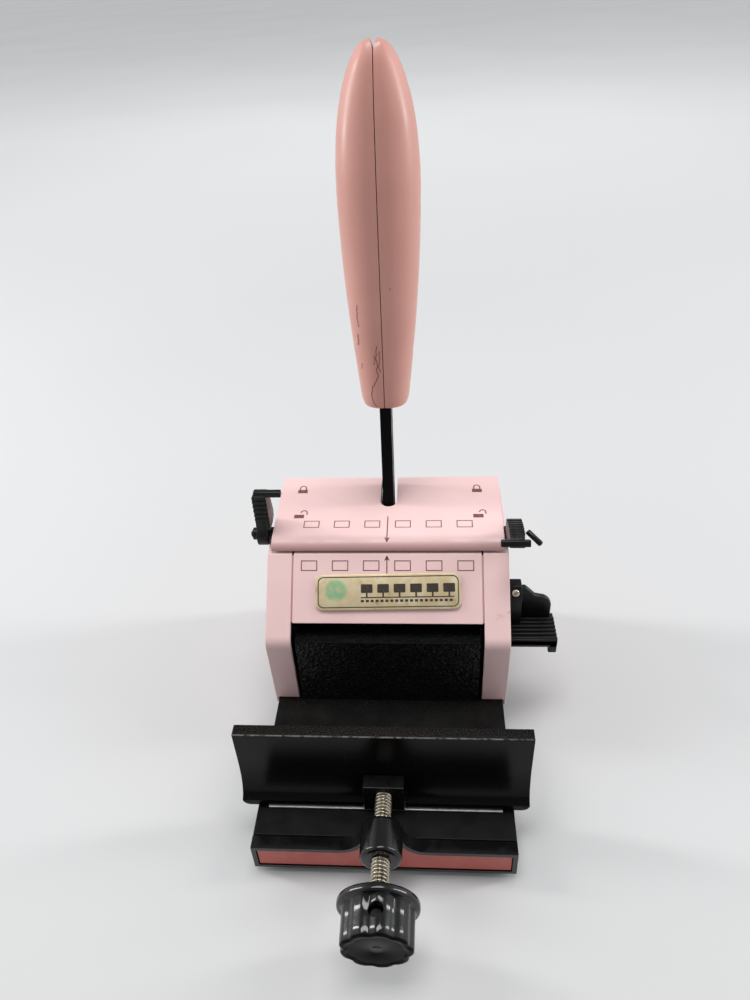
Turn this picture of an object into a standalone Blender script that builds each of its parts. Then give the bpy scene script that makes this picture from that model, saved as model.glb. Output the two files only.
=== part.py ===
"""Desktop hole punch and wire-binding machine, modelled as separate working pieces.

World frame: metres, +Z up, -Y towards the user, X = 0 is the symmetry plane. The origin is the
centre of the rubber pad's underside. Every size below is in millimetres, and the helpers turn
millimetres into metres.
"""
from math import cos, pi, radians, sin, sqrt

import bmesh
import bpy
from mathutils import Matrix, Vector

MM = 0.001
GAP = 0.3                    # clearance between pieces that touch

# Base
BASE_DEPTH = 140.0
FRONT = -BASE_DEPTH / 2      # world Y of the front face
BASE_HALF = 47.8
BASE_LOW = 3.0
DECK = 15.8                  # top of the base
BASE_WALL = 3.0
BRACKET_DEPTH = 4.9

# Lower body
PANEL_HALF = 49.1
PANEL_INNER = 38.9
PANEL_WALL = 2.0
FACE_FOOT_Y = FRONT + 67.5
KNEE_Y = FRONT + 65.5
KNEE_Z = 50.8
LIP_Y = FRONT + 91.6         # top of the slope, at the paper mouth
LIP_Z = 76.4
BODY_BACK_Y = FRONT + 138.0
COVER_FOOT_Y = FRONT + 71.6
COVER_FOOT_Z = 56.8
SLOPE = (LIP_Z - KNEE_Z) / (LIP_Y - KNEE_Y)

# Upper housing
HEAD_HALF = 47.4
HEAD_WALL = 1.5
HEAD_LOW = 77.6
HEAD_FRONT_Y = FRONT + 92.0
HEAD_TOP_Y = FRONT + 99.0    # where the nose meets the flat top
HEAD_TOP_Z = 81.55
HEAD_RISE = 0.11
HEAD_BACK_Y = FRONT + 137.3
LEVER_SLOT = 3.5             # half-width of every slot that the hand lever runs in

# Hand lever
PIVOT_Y = FRONT + 118.5
PIVOT_Z = 57.0
LEAN = 8.0                   # degrees that the lever leans back at rest
LEVER_HALF = 2.25
LEVER_DEPTH = 12.0
SHAFT_R = 4.0
CRANK_R = 26.0               # lower arm, which pushes the ram
CRANK_BACK = 10.0            # degrees that the lower arm trails at rest
CAM_OFFSET = 5.0
CAM_R = 7.0
CAM_X = 25.4
CAM_START = -31.0            # degrees, direction of the cam's offset at rest
GRIP_LOW = 70.7              # along the lever, from the pivot
GRIP_TOP = 195.7

# Punch
HOLE_PITCH = 12.7
HOLE_COUNT = 6
PUNCH_Y = FRONT + 100.5
PUNCH_SIZE = (6.0, 4.0)
PUNCH_BAR_LOW = 50.0
PUNCH_BAR_TOP = 58.0
FOLLOWER_Z = 61.9
GUIDE_LOW = 70.5
GUIDE_TOP = 74.1
DIE_LOW = 77.9
DIE_TOP = 79.7

# Ram
RAM_FACE_Y = FRONT + 66.8
RAM_BACK_Y = FRONT + 74.5
RAM_HALF = 37.3
RAM_TOP = 50.5
RAM_TAIL_Y = FRONT + 116.1
ROD_X = 28.0
ROD_Z = 33.0
ROD_R = 2.5
ROD_END_Y = FRONT + 128.0
NUT_Y = FRONT + 122.5
STAY_Y = FRONT + 80.0        # plate that guides the ram's tail and rods
STAY_THICK = 4.0

# Fence and its screw
SCREW_Z = 25.0
SCREW_R = 3.175              # quarter-inch, 20 threads to the inch
COLLAR_R = 7.4
COLLAR_FRONT_Y = FRONT - 8.5
FENCE_HALF = 53.2
FENCE_TOP = 52.5
FENCE_LOW = 17.1
FENCE_FRONT_Y = FRONT + 21.0
FENCE_BACK_Y = FRONT + 25.5
FENCE_BEND_Z = 36.0
FENCE_TOE = 4.7
KNOB_REAR_Y = FRONT - 22.0
KNOB_FRONT_Y = FRONT - 37.0
KNOB_R = 11.9
KNOB_LOBES = 9
FLANGE_R = 13.7
FLANGE_THICK = 2.6
SET_SCREW_Y = FRONT - 29.5

# Side levers
HUB_Y = FRONT + 101.0
HUB_Z = 79.6
HUB_R = 4.8
SIDE_LEVER_INNER = 49.4
SIDE_LEVER_OUTER = 53.8
LEVER_NECK = [(6.4, 5.0), (6.8, 8.5), (5.6, 13.5), (3.2, 19.0), (0.6, 22.3), (-2.2, 22.3), (-2.2, 12.0),
              (-2.8, 7.5)]
RIGHT_LEVER_TILT = 60.0      # degrees forward of upright
THUMB_Y = FRONT + 93.0
THUMB_Z = 50.0

AXES = {
    "X": Matrix(((0, 0, 1, 0), (1, 0, 0, 0), (0, 1, 0, 0), (0, 0, 0, 1))),
    "Y": Matrix(((1, 0, 0, 0), (0, 0, -1, 0), (0, 1, 0, 0), (0, 0, 0, 1))),
    "Z": Matrix.Identity(4),
}


# ---------------------------------------------------------------- scene helpers

def clear_scene():
    for obj in list(bpy.data.objects):
        bpy.data.objects.remove(obj, do_unlink=True)


def make_collection(name):
    collection = bpy.data.collections.new(name)
    bpy.context.scene.collection.children.link(collection)
    return collection


def make_material(name, colour, roughness, metallic=0.0):
    material = bpy.data.materials.new(name)
    material.use_nodes = True
    shader = material.node_tree.nodes["Principled BSDF"]
    shader.inputs["Base Color"].default_value = (*colour, 1.0)
    shader.inputs["Roughness"].default_value = roughness
    shader.inputs["Metallic"].default_value = metallic
    return material


clear_scene()
PARTS = make_collection("craft_punch")
CUTTERS = make_collection("cutters")

PINK = make_material("pink_plastic", (0.78, 0.55, 0.53), 0.38)
GRIP_PINK = make_material("grip_pink", (0.68, 0.40, 0.37), 0.42)
SALMON = make_material("salmon_inset", (0.62, 0.16, 0.14), 0.5)
BLACK = make_material("black_enamel", (0.012, 0.012, 0.013), 0.35)
CRINKLE = make_material("crinkle_black", (0.015, 0.015, 0.016), 0.5)
BLACK_PLASTIC = make_material("black_plastic", (0.014, 0.014, 0.015), 0.28)
STEEL = make_material("plain_steel", (0.45, 0.44, 0.42), 0.35, 1.0)
ZINC = make_material("zinc_plate", (0.55, 0.52, 0.44), 0.32, 1.0)
BRONZE = make_material("bronze", (0.42, 0.27, 0.13), 0.4, 1.0)
RUBBER = make_material("black_rubber", (0.02, 0.02, 0.02), 0.85)
PLAQUE = make_material("plaque_gold", (0.52, 0.46, 0.30), 0.4, 0.4)


def keep(obj, material, collection=PARTS):
    """Give a new object its material and its collection."""
    for old in list(obj.users_collection):
        old.objects.unlink(obj)
    collection.objects.link(obj)
    obj.data.materials.clear()
    obj.data.materials.append(material)
    return obj


def new_object(name, mesh, material, matrix=None):
    obj = bpy.data.objects.new(name, mesh)
    obj.matrix_world = matrix or Matrix.Identity(4)
    return keep(obj, material)


def box(name, low, high, material):
    """Block between two corners, with its origin at its centre."""
    low = Vector(low) * MM
    high = Vector(high) * MM
    mesh = bpy.data.meshes.new(name)
    shape = bmesh.new()
    bmesh.ops.create_cube(shape, size=1.0, matrix=Matrix.Diagonal((*(high - low), 1.0)))
    shape.to_mesh(mesh)
    shape.free()
    return new_object(name, mesh, material, Matrix.Translation((low + high) / 2))


def cylinder(name, radius, start, end, material, segments=24, tip_radius=None):
    """Round bar, or a taper, between two points."""
    start = Vector(start) * MM
    end = Vector(end) * MM
    along = end - start
    mesh = bpy.data.meshes.new(name)
    shape = bmesh.new()
    bmesh.ops.create_cone(
        shape, cap_ends=True, segments=segments, radius1=radius * MM,
        radius2=(radius if tip_radius is None else tip_radius) * MM, depth=along.length)
    shape.to_mesh(mesh)
    shape.free()
    mesh.shade_smooth()
    mesh.set_sharp_from_angle(angle=radians(40))
    turn = along.to_track_quat("Z", "Y").to_matrix().to_4x4()
    return new_object(name, mesh, material, Matrix.Translation((start + end) / 2) @ turn)


def plate(name, outline, axis, low, high, material):
    """Flat outline extruded along an axis, from low to high.

    The outline's points are (Y, Z) for axis X, (X, Z) for axis Y and (X, Y) for axis Z.
    """
    curve = bpy.data.curves.new(name + "_outline", "CURVE")
    curve.dimensions = "2D"
    curve.fill_mode = "BOTH"
    curve.extrude = (high - low) / 2 * MM
    spline = curve.splines.new("POLY")
    spline.points.add(len(outline) - 1)
    for point, (u, v) in zip(spline.points, outline):
        point.co = (u * MM, v * MM, 0.0, 1.0)
    spline.use_cyclic_u = True
    guide = bpy.data.objects.new(name + "_outline", curve)
    PARTS.objects.link(guide)
    mesh = solid_from_curve(guide)
    middle = (low + high) / 2 * MM
    # local Z is world -Y on the Y axis
    shift = Matrix.Translation((0, 0, -middle if axis == "Y" else middle))
    return new_object(name, mesh, material, AXES[axis] @ shift)


def solid_from_curve(guide):
    """Closed mesh of a curve object, with its caps welded; the curve is removed."""
    graph = bpy.context.evaluated_depsgraph_get()
    mesh = bpy.data.meshes.new_from_object(guide.evaluated_get(graph))
    shape = bmesh.new()
    shape.from_mesh(mesh)
    bmesh.ops.remove_doubles(shape, verts=shape.verts, dist=0.000001)
    bmesh.ops.recalc_face_normals(shape, faces=shape.faces)
    shape.to_mesh(mesh)
    shape.free()
    bpy.data.objects.remove(guide, do_unlink=True)
    return mesh


def arc(centre, radius, start, end, steps):
    """Points on an arc between two angles in degrees."""
    points = []
    for step in range(steps + 1):
        angle = radians(start + (end - start) * step / steps)
        points.append((centre[0] + radius * cos(angle), centre[1] + radius * sin(angle)))
    return points


def boolean(target, tool, operation):
    keep(tool, target.data.materials[0], CUTTERS)
    tool.hide_render = True
    tool.display_type = "WIRE"
    modifier = target.modifiers.new(tool.name, "BOOLEAN")
    modifier.operation = operation
    modifier.solver = "EXACT"
    modifier.object = tool
    return target


def cut(target, tool):
    return boolean(target, tool, "DIFFERENCE")


def join(target, tool):
    return boolean(target, tool, "UNION")


def pivot(name, place):
    """Empty on a joint's axis, which the moving pieces hang from."""
    empty = bpy.data.objects.new(name, None)
    empty.location = Vector(place) * MM
    PARTS.objects.link(empty)
    return empty


def hang(obj, empty):
    """Parent an object to an empty without moving it."""
    obj.parent = empty
    obj.matrix_parent_inverse = Matrix.Translation(empty.location).inverted()
    return obj


def spring(name, centre, axis, length, coil_radius, wire_radius, turns, material):
    """Compression spring along an axis, from its centre point."""
    points_per_turn = 10
    curve = bpy.data.curves.new(name, "CURVE")
    curve.dimensions = "3D"
    curve.bevel_depth = wire_radius * MM
    curve.bevel_resolution = 1
    curve.use_fill_caps = True
    line = curve.splines.new("POLY")
    count = turns * points_per_turn + 1
    line.points.add(count - 1)
    for index, point in enumerate(line.points):
        angle = 2 * pi * index / points_per_turn
        rise = (index / (count - 1) - 0.5) * (length - 2 * wire_radius)
        point.co = (coil_radius * cos(angle) * MM, coil_radius * sin(angle) * MM, rise * MM, 1.0)
    obj = bpy.data.objects.new(name, curve)
    obj.matrix_world = Matrix.Translation(Vector(centre) * MM) @ AXES[axis]
    return keep(obj, material)


# ---------------------------------------------------------------- outlines

def slope_z(y, inset=0.0):
    """Height of the lower body's slope at a depth, moved inwards by an inset."""
    return KNEE_Z + SLOPE * (y - KNEE_Y) - inset * sqrt(1 + SLOPE * SLOPE)


def head_top_z(y):
    return HEAD_TOP_Z + HEAD_RISE * (y - HEAD_TOP_Y)


def head_outline(inset, low):
    """Side outline of the upper housing: rounded nose, flat top that rises, rounded back."""
    nose_y = HEAD_TOP_Y
    nose_z = HEAD_LOW + 0.2
    nose_reach = nose_y - HEAD_FRONT_Y
    nose_height = HEAD_TOP_Z - nose_z
    back_radius = 5.5
    back_y = HEAD_BACK_Y - back_radius
    back_z = head_top_z(back_y) - back_radius
    points = [(HEAD_FRONT_Y + inset, low)]
    for step in range(9):
        angle = radians(180 - 90 * step / 8)
        points.append((nose_y + (nose_reach - inset) * cos(angle),
                       nose_z + (nose_height - inset) * sin(angle)))
    points += arc((back_y, back_z), back_radius - inset, 90, 0, 6)
    points.append((HEAD_BACK_Y - inset, low))
    return points


def fence_outline():
    """Side outline of the fence: upright, with a foot that sweeps forward."""
    points = [(FENCE_BACK_Y, FENCE_TOP)]
    for step in range(7):
        angle = radians(90 * step / 6)
        points.append((FENCE_BACK_Y - 4.0 * (1 - cos(angle)),
                       FENCE_BEND_Z - (FENCE_BEND_Z - FENCE_LOW) * sin(angle)))
    toe_y = FENCE_FRONT_Y - FENCE_TOE
    points.append((toe_y, FENCE_LOW))
    for step in range(7):
        angle = radians(90 - 90 * step / 6)
        points.append((FENCE_FRONT_Y - FENCE_TOE * (1 - cos(angle)),
                       FENCE_BEND_Z - (FENCE_BEND_Z - FENCE_LOW - 3.0) * sin(angle)))
    points.append((FENCE_FRONT_Y, FENCE_TOP))
    return points


def knob_outline():
    """Round outline with shallow flutes between its lobes."""
    points = []
    count = KNOB_LOBES * 8
    for index in range(count):
        angle = 2 * pi * index / count
        radius = KNOB_R - 0.45 * (1 - cos(KNOB_LOBES * angle)) ** 2 / 2
        points.append((radius * cos(angle), SCREW_Z + radius * sin(angle)))
    return points


def side_lever_outline():
    """Lever that stands up from its hub and bulges behind its neck, as (Y, Z) from the hub."""
    return arc((0, 0), HUB_R, 130, 410, 14) + LEVER_NECK


# ---------------------------------------------------------------- base

def build_base():
    base = box("base_housing", (-BASE_HALF, FRONT + BRACKET_DEPTH + GAP, BASE_LOW),
               (BASE_HALF, -FRONT, DECK), BLACK)
    cavity = box("base_cavity", (-BASE_HALF + BASE_WALL, FRONT + BRACKET_DEPTH + GAP + BASE_WALL, 0),
                 (BASE_HALF - BASE_WALL, -FRONT - BASE_WALL, DECK - BASE_WALL), BLACK)
    cut(base, cavity)
    inner = BASE_HALF - BASE_WALL - GAP
    box("bottom_cover", (-inner, FRONT + BRACKET_DEPTH + BASE_WALL + 2 * GAP, BASE_LOW),
        (inner, -FRONT - BASE_WALL - GAP, BASE_LOW + 1.5), STEEL)
    box("base_pad", (-BASE_HALF + 3, FRONT + 3, 0), (BASE_HALF - 3, -FRONT - 3, BASE_LOW - GAP), RUBBER)


def bracket_fillet(inset):
    """Right-hand concave fillet between the bracket's top edge and its collar, from outside in."""
    reach = 9.0
    start = 16.0
    points = arc((start, DECK + reach), reach + inset, -90, -172, 8)
    return points


def build_front_bracket():
    right = bracket_fillet(0.0)
    left = [(-x, z) for x, z in reversed(right)]
    outline = ([(-BASE_HALF, BASE_LOW), (BASE_HALF, BASE_LOW), (BASE_HALF, DECK)] + right
               + [(5.0, SCREW_Z), (-5.0, SCREW_Z)] + left + [(-BASE_HALF, DECK)])
    bracket = plate("front_bracket", outline, "Y", FRONT, FRONT + BRACKET_DEPTH, BLACK)
    collar = cylinder("collar_boss", COLLAR_R, (0, COLLAR_FRONT_Y, SCREW_Z),
                      (0, FRONT + BRACKET_DEPTH - 0.4, SCREW_Z), BLACK, 32)
    rounding = collar.modifiers.new("rounding", "BEVEL")
    rounding.width = 1.5 * MM
    rounding.segments = 3
    rounding.limit_method = "ANGLE"
    rounding.angle_limit = radians(60)
    join(bracket, collar)
    pocket = plate("inset_pocket", inset_outline(0.0), "Y", FRONT - 1, FRONT + 1.6, BLACK)
    shield = cylinder("collar_shield", COLLAR_R + 0.05, (0, COLLAR_FRONT_Y - 1, SCREW_Z),
                      (0, FRONT + 3, SCREW_Z), BLACK, 32)
    cut(pocket, shield)
    cut(bracket, pocket)
    cut(bracket, cylinder("collar_bore", SCREW_R + GAP, (0, COLLAR_FRONT_Y - 2, SCREW_Z),
                          (0, FRONT + BRACKET_DEPTH + 2, SCREW_Z), BLACK, 24))
    inset = plate("front_inset", inset_outline(GAP), "Y", FRONT + 0.4, FRONT + 1.6 - GAP, SALMON)
    cut(inset, cylinder("inset_shield", COLLAR_R + GAP, (0, COLLAR_FRONT_Y, SCREW_Z),
                        (0, FRONT + 3, SCREW_Z), SALMON, 32))


def inset_outline(clearance):
    """Outline of the front inset, a rim's width inside the bracket's outline."""
    rim = 1.7 + clearance
    half = BASE_HALF - rim
    low = BASE_LOW + 1.4 + clearance
    right = bracket_fillet(rim)
    left = [(-x, z) for x, z in reversed(right)]
    return [(-half, low), (half, low), (half, DECK - rim)] + right + left + [(-half, DECK - rim)]


# ---------------------------------------------------------------- lower body

def eased_corner(before, corner, after, reach, steps):
    """Points of a smooth bend that replaces a corner, starting and ending a reach away from it."""
    corner = Vector(corner)
    start = corner + (Vector(before) - corner).normalized() * reach
    end = corner + (Vector(after) - corner).normalized() * reach
    points = []
    for step in range(steps + 1):
        share = step / steps
        point = start * (1 - share) ** 2 + corner * 2 * share * (1 - share) + end * share ** 2
        points.append((point.x, point.y))
    return points


def panel_outline(inset):
    top = LIP_Z - inset
    lip_y = LIP_Y + (0 if inset == 0 else inset * 0.42)
    knee_y = KNEE_Y + inset
    foot = (FACE_FOOT_Y + inset, DECK)
    lip = (lip_y, top)
    knee = eased_corner(foot, (knee_y, slope_z(knee_y, inset)), lip, 3.2 - inset * 0.7, 6)
    return [(FACE_FOOT_Y + inset, 12.8 - inset), foot] + knee + [lip, (BODY_BACK_Y + inset, top),
            (BODY_BACK_Y + inset, 12.8 - inset)]


def build_side_panel(side):
    name = "side_panel_left" if side < 0 else "side_panel_right"
    spans = sorted((side * PANEL_INNER, side * PANEL_HALF))
    panel = plate(name, panel_outline(0.0), "X", spans[0], spans[1], PINK)
    hollow = sorted((side * (PANEL_INNER - 1), side * (PANEL_HALF - PANEL_WALL)))
    cut(panel, plate(name + "_hollow", panel_outline(PANEL_WALL), "X", hollow[0], hollow[1], PINK))
    notch = sorted((side * (PANEL_INNER - 2), side * (BASE_HALF + GAP)))
    cut(panel, box(name + "_notch", (notch[0], FRONT + 50, 0), (notch[1], -FRONT + 5, DECK + GAP), PINK))
    if side > 0:
        cut(panel, cylinder("thumb_pin_hole", 1.9, (45, THUMB_Y, THUMB_Z), (52, THUMB_Y, THUMB_Z), PINK, 16))
    jaw = sorted((side * (PANEL_INNER - 1), side * 44.5))
    cut(panel, box(name + "_jaw_slot", (jaw[0], FRONT + 112.2, 60), (jaw[1], FRONT + 133.3, 90), PINK))


def build_side_frame(side):
    name = "side_frame_left" if side < 0 else "side_frame_right"
    outline = [(FRONT + 71, DECK + GAP), (FRONT + 71, 51.5), (FRONT + 93, GUIDE_LOW - GAP),
               (FRONT + 112.5, GUIDE_LOW - GAP), (FRONT + 112.5, HEAD_LOW), (FRONT + 133, HEAD_LOW),
               (FRONT + 133, DECK + GAP)]
    spans = sorted((side * 41.2, side * 44.2))
    frame = plate(name, outline, "X", spans[0], spans[1], BLACK)
    cut(frame, cylinder(name + "_bore", 6.0 + GAP, (spans[0] - 2, PIVOT_Y, PIVOT_Z),
                        (spans[1] + 2, PIVOT_Y, PIVOT_Z), BLACK, 24))
    bush_name = "shaft_bush_left" if side < 0 else "shaft_bush_right"
    bush = cylinder(bush_name, 6.0, (spans[0], PIVOT_Y, PIVOT_Z), (spans[1], PIVOT_Y, PIVOT_Z), BRONZE, 24)
    cut(bush, cylinder(bush_name + "_bore", SHAFT_R + GAP, (spans[0] - 2, PIVOT_Y, PIVOT_Z),
                       (spans[1] + 2, PIVOT_Y, PIVOT_Z), BRONZE, 24))


def build_covers():
    thick = 2.0
    half = PANEL_INNER - 0.7
    outline = [(COVER_FOOT_Y, COVER_FOOT_Z), (LIP_Y, LIP_Z), (LIP_Y + 2.3, LIP_Z),
               (LIP_Y + 2.3, LIP_Z - thick), (LIP_Y + 0.85, LIP_Z - thick),
               (COVER_FOOT_Y + 1.4, slope_z(COVER_FOOT_Y + 1.4, thick))]
    plate("front_cover", outline, "X", -half, half, PINK)
    wide = PANEL_HALF - PANEL_WALL - GAP
    narrow = PANEL_INNER - GAP
    shoulder = LIP_Z - PANEL_WALL - GAP
    back = [(-wide, DECK + GAP), (wide, DECK + GAP), (wide, shoulder), (narrow, shoulder),
            (narrow, HEAD_LOW - GAP), (-narrow, HEAD_LOW - GAP), (-narrow, shoulder), (-wide, shoulder)]
    rear = plate("rear_cover", back, "Y", BODY_BACK_Y - 1.8, BODY_BACK_Y, PINK)
    cut(rear, box("rear_slot", (-LEVER_SLOT, BODY_BACK_Y - 4, 50), (LEVER_SLOT, BODY_BACK_Y + 2, 90), PINK))
    build_plaque()


def build_plaque():
    """Rounded plaque that lies on the slope, turned a little on its face."""
    half_w, half_h, corner = 29.3, 7.2, 3.0
    points = []
    for cx, cy, start in ((1, 1, 0), (-1, 1, 90), (-1, -1, 180), (1, -1, 270)):
        centre = (cx * (half_w - corner), cy * (half_h - corner))
        points += arc(centre, corner, start, start + 90, 4)
    plaque = plate("label_plaque", points, "Z", 0.0, 0.8, PLAQUE)
    run = 12.7
    tilt = Vector((0, 1, SLOPE)).normalized()
    normal = Vector((0, -SLOPE, 1)).normalized()
    base = Vector((0.5, COVER_FOOT_Y, COVER_FOOT_Z)) + tilt * run + normal * (GAP + 0.1)
    facing = Matrix((Vector((1, 0, 0)), tilt, normal)).transposed().to_4x4()
    turn = Matrix.Rotation(radians(1.0), 4, "Z")
    plaque.matrix_world = Matrix.Translation(base * MM) @ facing @ turn @ plaque.matrix_world


# ---------------------------------------------------------------- upper housing

def build_head():
    housing = plate("upper_housing", head_outline(0.0, HEAD_LOW), "X", -HEAD_HALF, HEAD_HALF, PINK)
    inner = HEAD_HALF - HEAD_WALL
    cut(housing, plate("head_hollow", head_outline(HEAD_WALL, HEAD_LOW - 3), "X", -inner, inner, PINK))
    front_y = FRONT + 114.5
    slot = box("head_slot", (-LEVER_SLOT, front_y + LEVER_SLOT, 70), (LEVER_SLOT, HEAD_BACK_Y + 5, 95), PINK)
    join(slot, cylinder("head_slot_end", LEVER_SLOT, (0, front_y + LEVER_SLOT, 70),
                        (0, front_y + LEVER_SLOT, 95), PINK, 24))
    cut(housing, slot)
    for side in (-1, 1):
        name = "head_pin_hole_left" if side < 0 else "head_pin_hole_right"
        cut(housing, cylinder(name, 1.55, (side * 44, HUB_Y, HUB_Z), (side * 50, HUB_Y, HUB_Z), PINK, 16))


# ---------------------------------------------------------------- punch

def hole_places():
    return [(index - (HOLE_COUNT - 1) / 2) * HOLE_PITCH for index in range(HOLE_COUNT)]


def pierce(target, low, high, clearance):
    """Cut the row of punch holes through a plate."""
    half_x = PUNCH_SIZE[0] / 2 + clearance
    half_y = PUNCH_SIZE[1] / 2 + clearance
    for index, x in enumerate(hole_places()):
        cut(target, box(f"{target.name}_hole_{index + 1}", (x - half_x, PUNCH_Y - half_y, low - 1),
                        (x + half_x, PUNCH_Y + half_y, high + 1), STEEL))


def build_punch_fixed():
    guide = box("punch_guide_plate", (-44.2, FRONT + 93.5, GUIDE_LOW), (44.2, FRONT + 111, GUIDE_TOP), STEEL)
    pierce(guide, GUIDE_LOW, GUIDE_TOP, GAP)
    die = box("head_die_plate", (-45.4, FRONT + 98, DIE_LOW), (45.4, FRONT + 133, DIE_TOP), STEEL)
    pierce(die, DIE_LOW, DIE_TOP, GAP)
    cut(die, box("die_slot", (-LEVER_SLOT, FRONT + 111, 70), (LEVER_SLOT, FRONT + 140, 90), STEEL))
    half = PANEL_INNER - GAP
    box("paper_stop", (-half, FRONT + 108, GUIDE_TOP + GAP), (half, FRONT + 110, DIE_LOW - GAP), STEEL)
    for side in (-1, 1):
        name = "punch_spring_left" if side < 0 else "punch_spring_right"
        low = PUNCH_BAR_TOP + GAP
        high = GUIDE_LOW - GAP
        spring(name, (side * 37.4, PUNCH_Y, (low + high) / 2), "Z", high - low, 1.8, 0.35, 5, STEEL)


def build_punch_carriage():
    travel = pivot("punch_travel", (0, PUNCH_Y, PUNCH_BAR_LOW))
    bar = box("punch_bar", (-40.3, FRONT + 96.5, PUNCH_BAR_LOW), (40.3, FRONT + 104.5, PUNCH_BAR_TOP), STEEL)
    for side in (-1, 1):
        tag = "left" if side < 0 else "right"
        low_x, high_x = sorted((side * (CAM_X - 3), side * (CAM_X + 3)))
        riser = [(FRONT + 102.9, PUNCH_BAR_TOP - 2), (FRONT + 106, PUNCH_BAR_TOP - 2),
                 (FRONT + 106, FOLLOWER_Z), (FRONT + 115.0, FOLLOWER_Z),
                 (FRONT + 115.0, FOLLOWER_Z + 3), (FRONT + 102.9, FOLLOWER_Z + 3)]
        join(bar, plate("follower_" + tag, riser, "X", low_x, high_x, STEEL))
    hang(bar, travel)
    half_x = PUNCH_SIZE[0] / 2
    half_y = PUNCH_SIZE[1] / 2
    for index, x in enumerate(hole_places()):
        pin = box(f"punch_{index + 1}", (x - half_x, PUNCH_Y - half_y, PUNCH_BAR_TOP + GAP),
                  (x + half_x, PUNCH_Y + half_y, GUIDE_TOP - GAP), STEEL)
        hang(pin, travel)


# ---------------------------------------------------------------- ram

def build_ram():
    travel = pivot("ram_travel", (0, RAM_FACE_Y, DECK))
    ram = box("ram", (-RAM_HALF, RAM_FACE_Y, DECK + GAP), (RAM_HALF, RAM_BACK_Y, RAM_TOP), CRINKLE)
    tail = [(RAM_BACK_Y - 2, 24), (RAM_TAIL_Y, 24), (RAM_TAIL_Y, 38), (RAM_TAIL_Y - 1, 42.5),
            (RAM_TAIL_Y - 10, 42.5), (RAM_TAIL_Y - 14, 38), (RAM_BACK_Y - 2, 38)]
    join(ram, plate("ram_tail", tail, "X", -7, 7, CRINKLE))
    join(ram, box("ram_hood", (-RAM_HALF, RAM_BACK_Y - 2, 46.6),
                  (RAM_HALF, FRONT + 95.2, RAM_TOP - 0.1), CRINKLE))
    hang(ram, travel)
    for side in (-1, 1):
        tag = "left" if side < 0 else "right"
        x = side * ROD_X
        hang(cylinder("ram_rod_" + tag, ROD_R, (x, RAM_BACK_Y + GAP, ROD_Z), (x, ROD_END_Y, ROD_Z),
                      STEEL, 16), travel)
        nut = cylinder("rod_nut_" + tag, 5.0, (x, NUT_Y, ROD_Z), (x, NUT_Y + 4, ROD_Z), ZINC, 6)
        cut(nut, cylinder("rod_nut_bore_" + tag, ROD_R + GAP, (x, NUT_Y - 2, ROD_Z),
                          (x, NUT_Y + 6, ROD_Z), ZINC, 16))
        hang(nut, travel)
        low = STAY_Y + STAY_THICK + GAP
        high = NUT_Y - GAP
        spring("ram_spring_" + tag, (x, (low + high) / 2, ROD_Z), "Y", high - low, 3.8, 0.5, 7, STEEL)
    stay = box("ram_guide_plate", (-40.9, STAY_Y, DECK + GAP), (40.9, STAY_Y + STAY_THICK, 46), STEEL)
    cut(stay, box("stay_notch", (-7.4, STAY_Y - 2, 23.6), (7.4, STAY_Y + STAY_THICK + 2, 60), STEEL))
    for side in (-1, 1):
        name = "stay_hole_left" if side < 0 else "stay_hole_right"
        cut(stay, cylinder(name, ROD_R + GAP, (side * ROD_X, STAY_Y - 2, ROD_Z),
                           (side * ROD_X, STAY_Y + STAY_THICK + 2, ROD_Z), STEEL, 16))


# ---------------------------------------------------------------- hand lever

GRIP_STATIONS = (
    # along the lever, half width, half depth
    (70.7, 8.2, 9.5), (73.0, 9.3, 10.6), (92.0, 11.4, 11.6), (112.0, 13.3, 12.8),
    (134.0, 14.5, 13.6), (154.0, 14.9, 13.8), (168.0, 13.9, 13.0), (179.0, 11.9, 11.5),
    (188.0, 8.9, 9.2), (193.0, 5.8, 6.6), (195.7, 2.6, 3.4),
)


def grip_half(name, side):
    """Half of the grip, lofted between half-oval sections with a flat face at the seam."""
    steps = 10
    shape = bmesh.new()
    rings = []
    for along, half_width, half_depth in GRIP_STATIONS:
        ring = []
        for step in range(steps + 1):
            angle = radians(-90 + 180 * step / steps)
            x = side * (GAP / 2 + half_width * cos(angle) ** 0.8)
            y = half_depth * sin(angle)
            ring.append(shape.verts.new((x * MM, y * MM, along * MM)))
        rings.append(ring)
    for lower, upper in zip(rings, rings[1:]):
        for step in range(steps + 1):
            after = (step + 1) % (steps + 1)
            shape.faces.new((lower[step], lower[after], upper[after], upper[step]))
    shape.faces.new(rings[0])
    shape.faces.new(rings[-1])
    bmesh.ops.recalc_face_normals(shape, faces=shape.faces)
    mesh = bpy.data.meshes.new(name)
    shape.to_mesh(mesh)
    shape.free()
    mesh.shade_smooth()
    mesh.set_sharp_from_angle(angle=radians(50))
    return new_object(name, mesh, GRIP_PINK)


def lever_outline():
    """Bell crank: upper bar along +Z, eye at the origin, lower arm trailing by CRANK_BACK."""
    half = LEVER_DEPTH / 2
    trail = radians(CRANK_BACK + LEAN)
    tip = (CRANK_R * sin(trail), -CRANK_R * cos(trail))
    tip_r = 4.5
    across = (cos(trail), sin(trail))
    eye_r = 9.0
    points = [(half, GRIP_TOP - 32), (-half, GRIP_TOP - 32)]
    points += arc((0, 0), eye_r, 135, 250, 8)
    points += [(tip[0] - tip_r * across[0], tip[1] - tip_r * across[1])]
    points += arc(tip, tip_r, 180 + CRANK_BACK + LEAN, 360 + CRANK_BACK + LEAN, 8)[1:]
    points += arc((0, 0), eye_r, 326, 405, 8)
    return points


def lever_frame():
    return Matrix.Translation(Vector((0, PIVOT_Y, PIVOT_Z)) * MM) @ Matrix.Rotation(radians(-LEAN), 4, "X")


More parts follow.
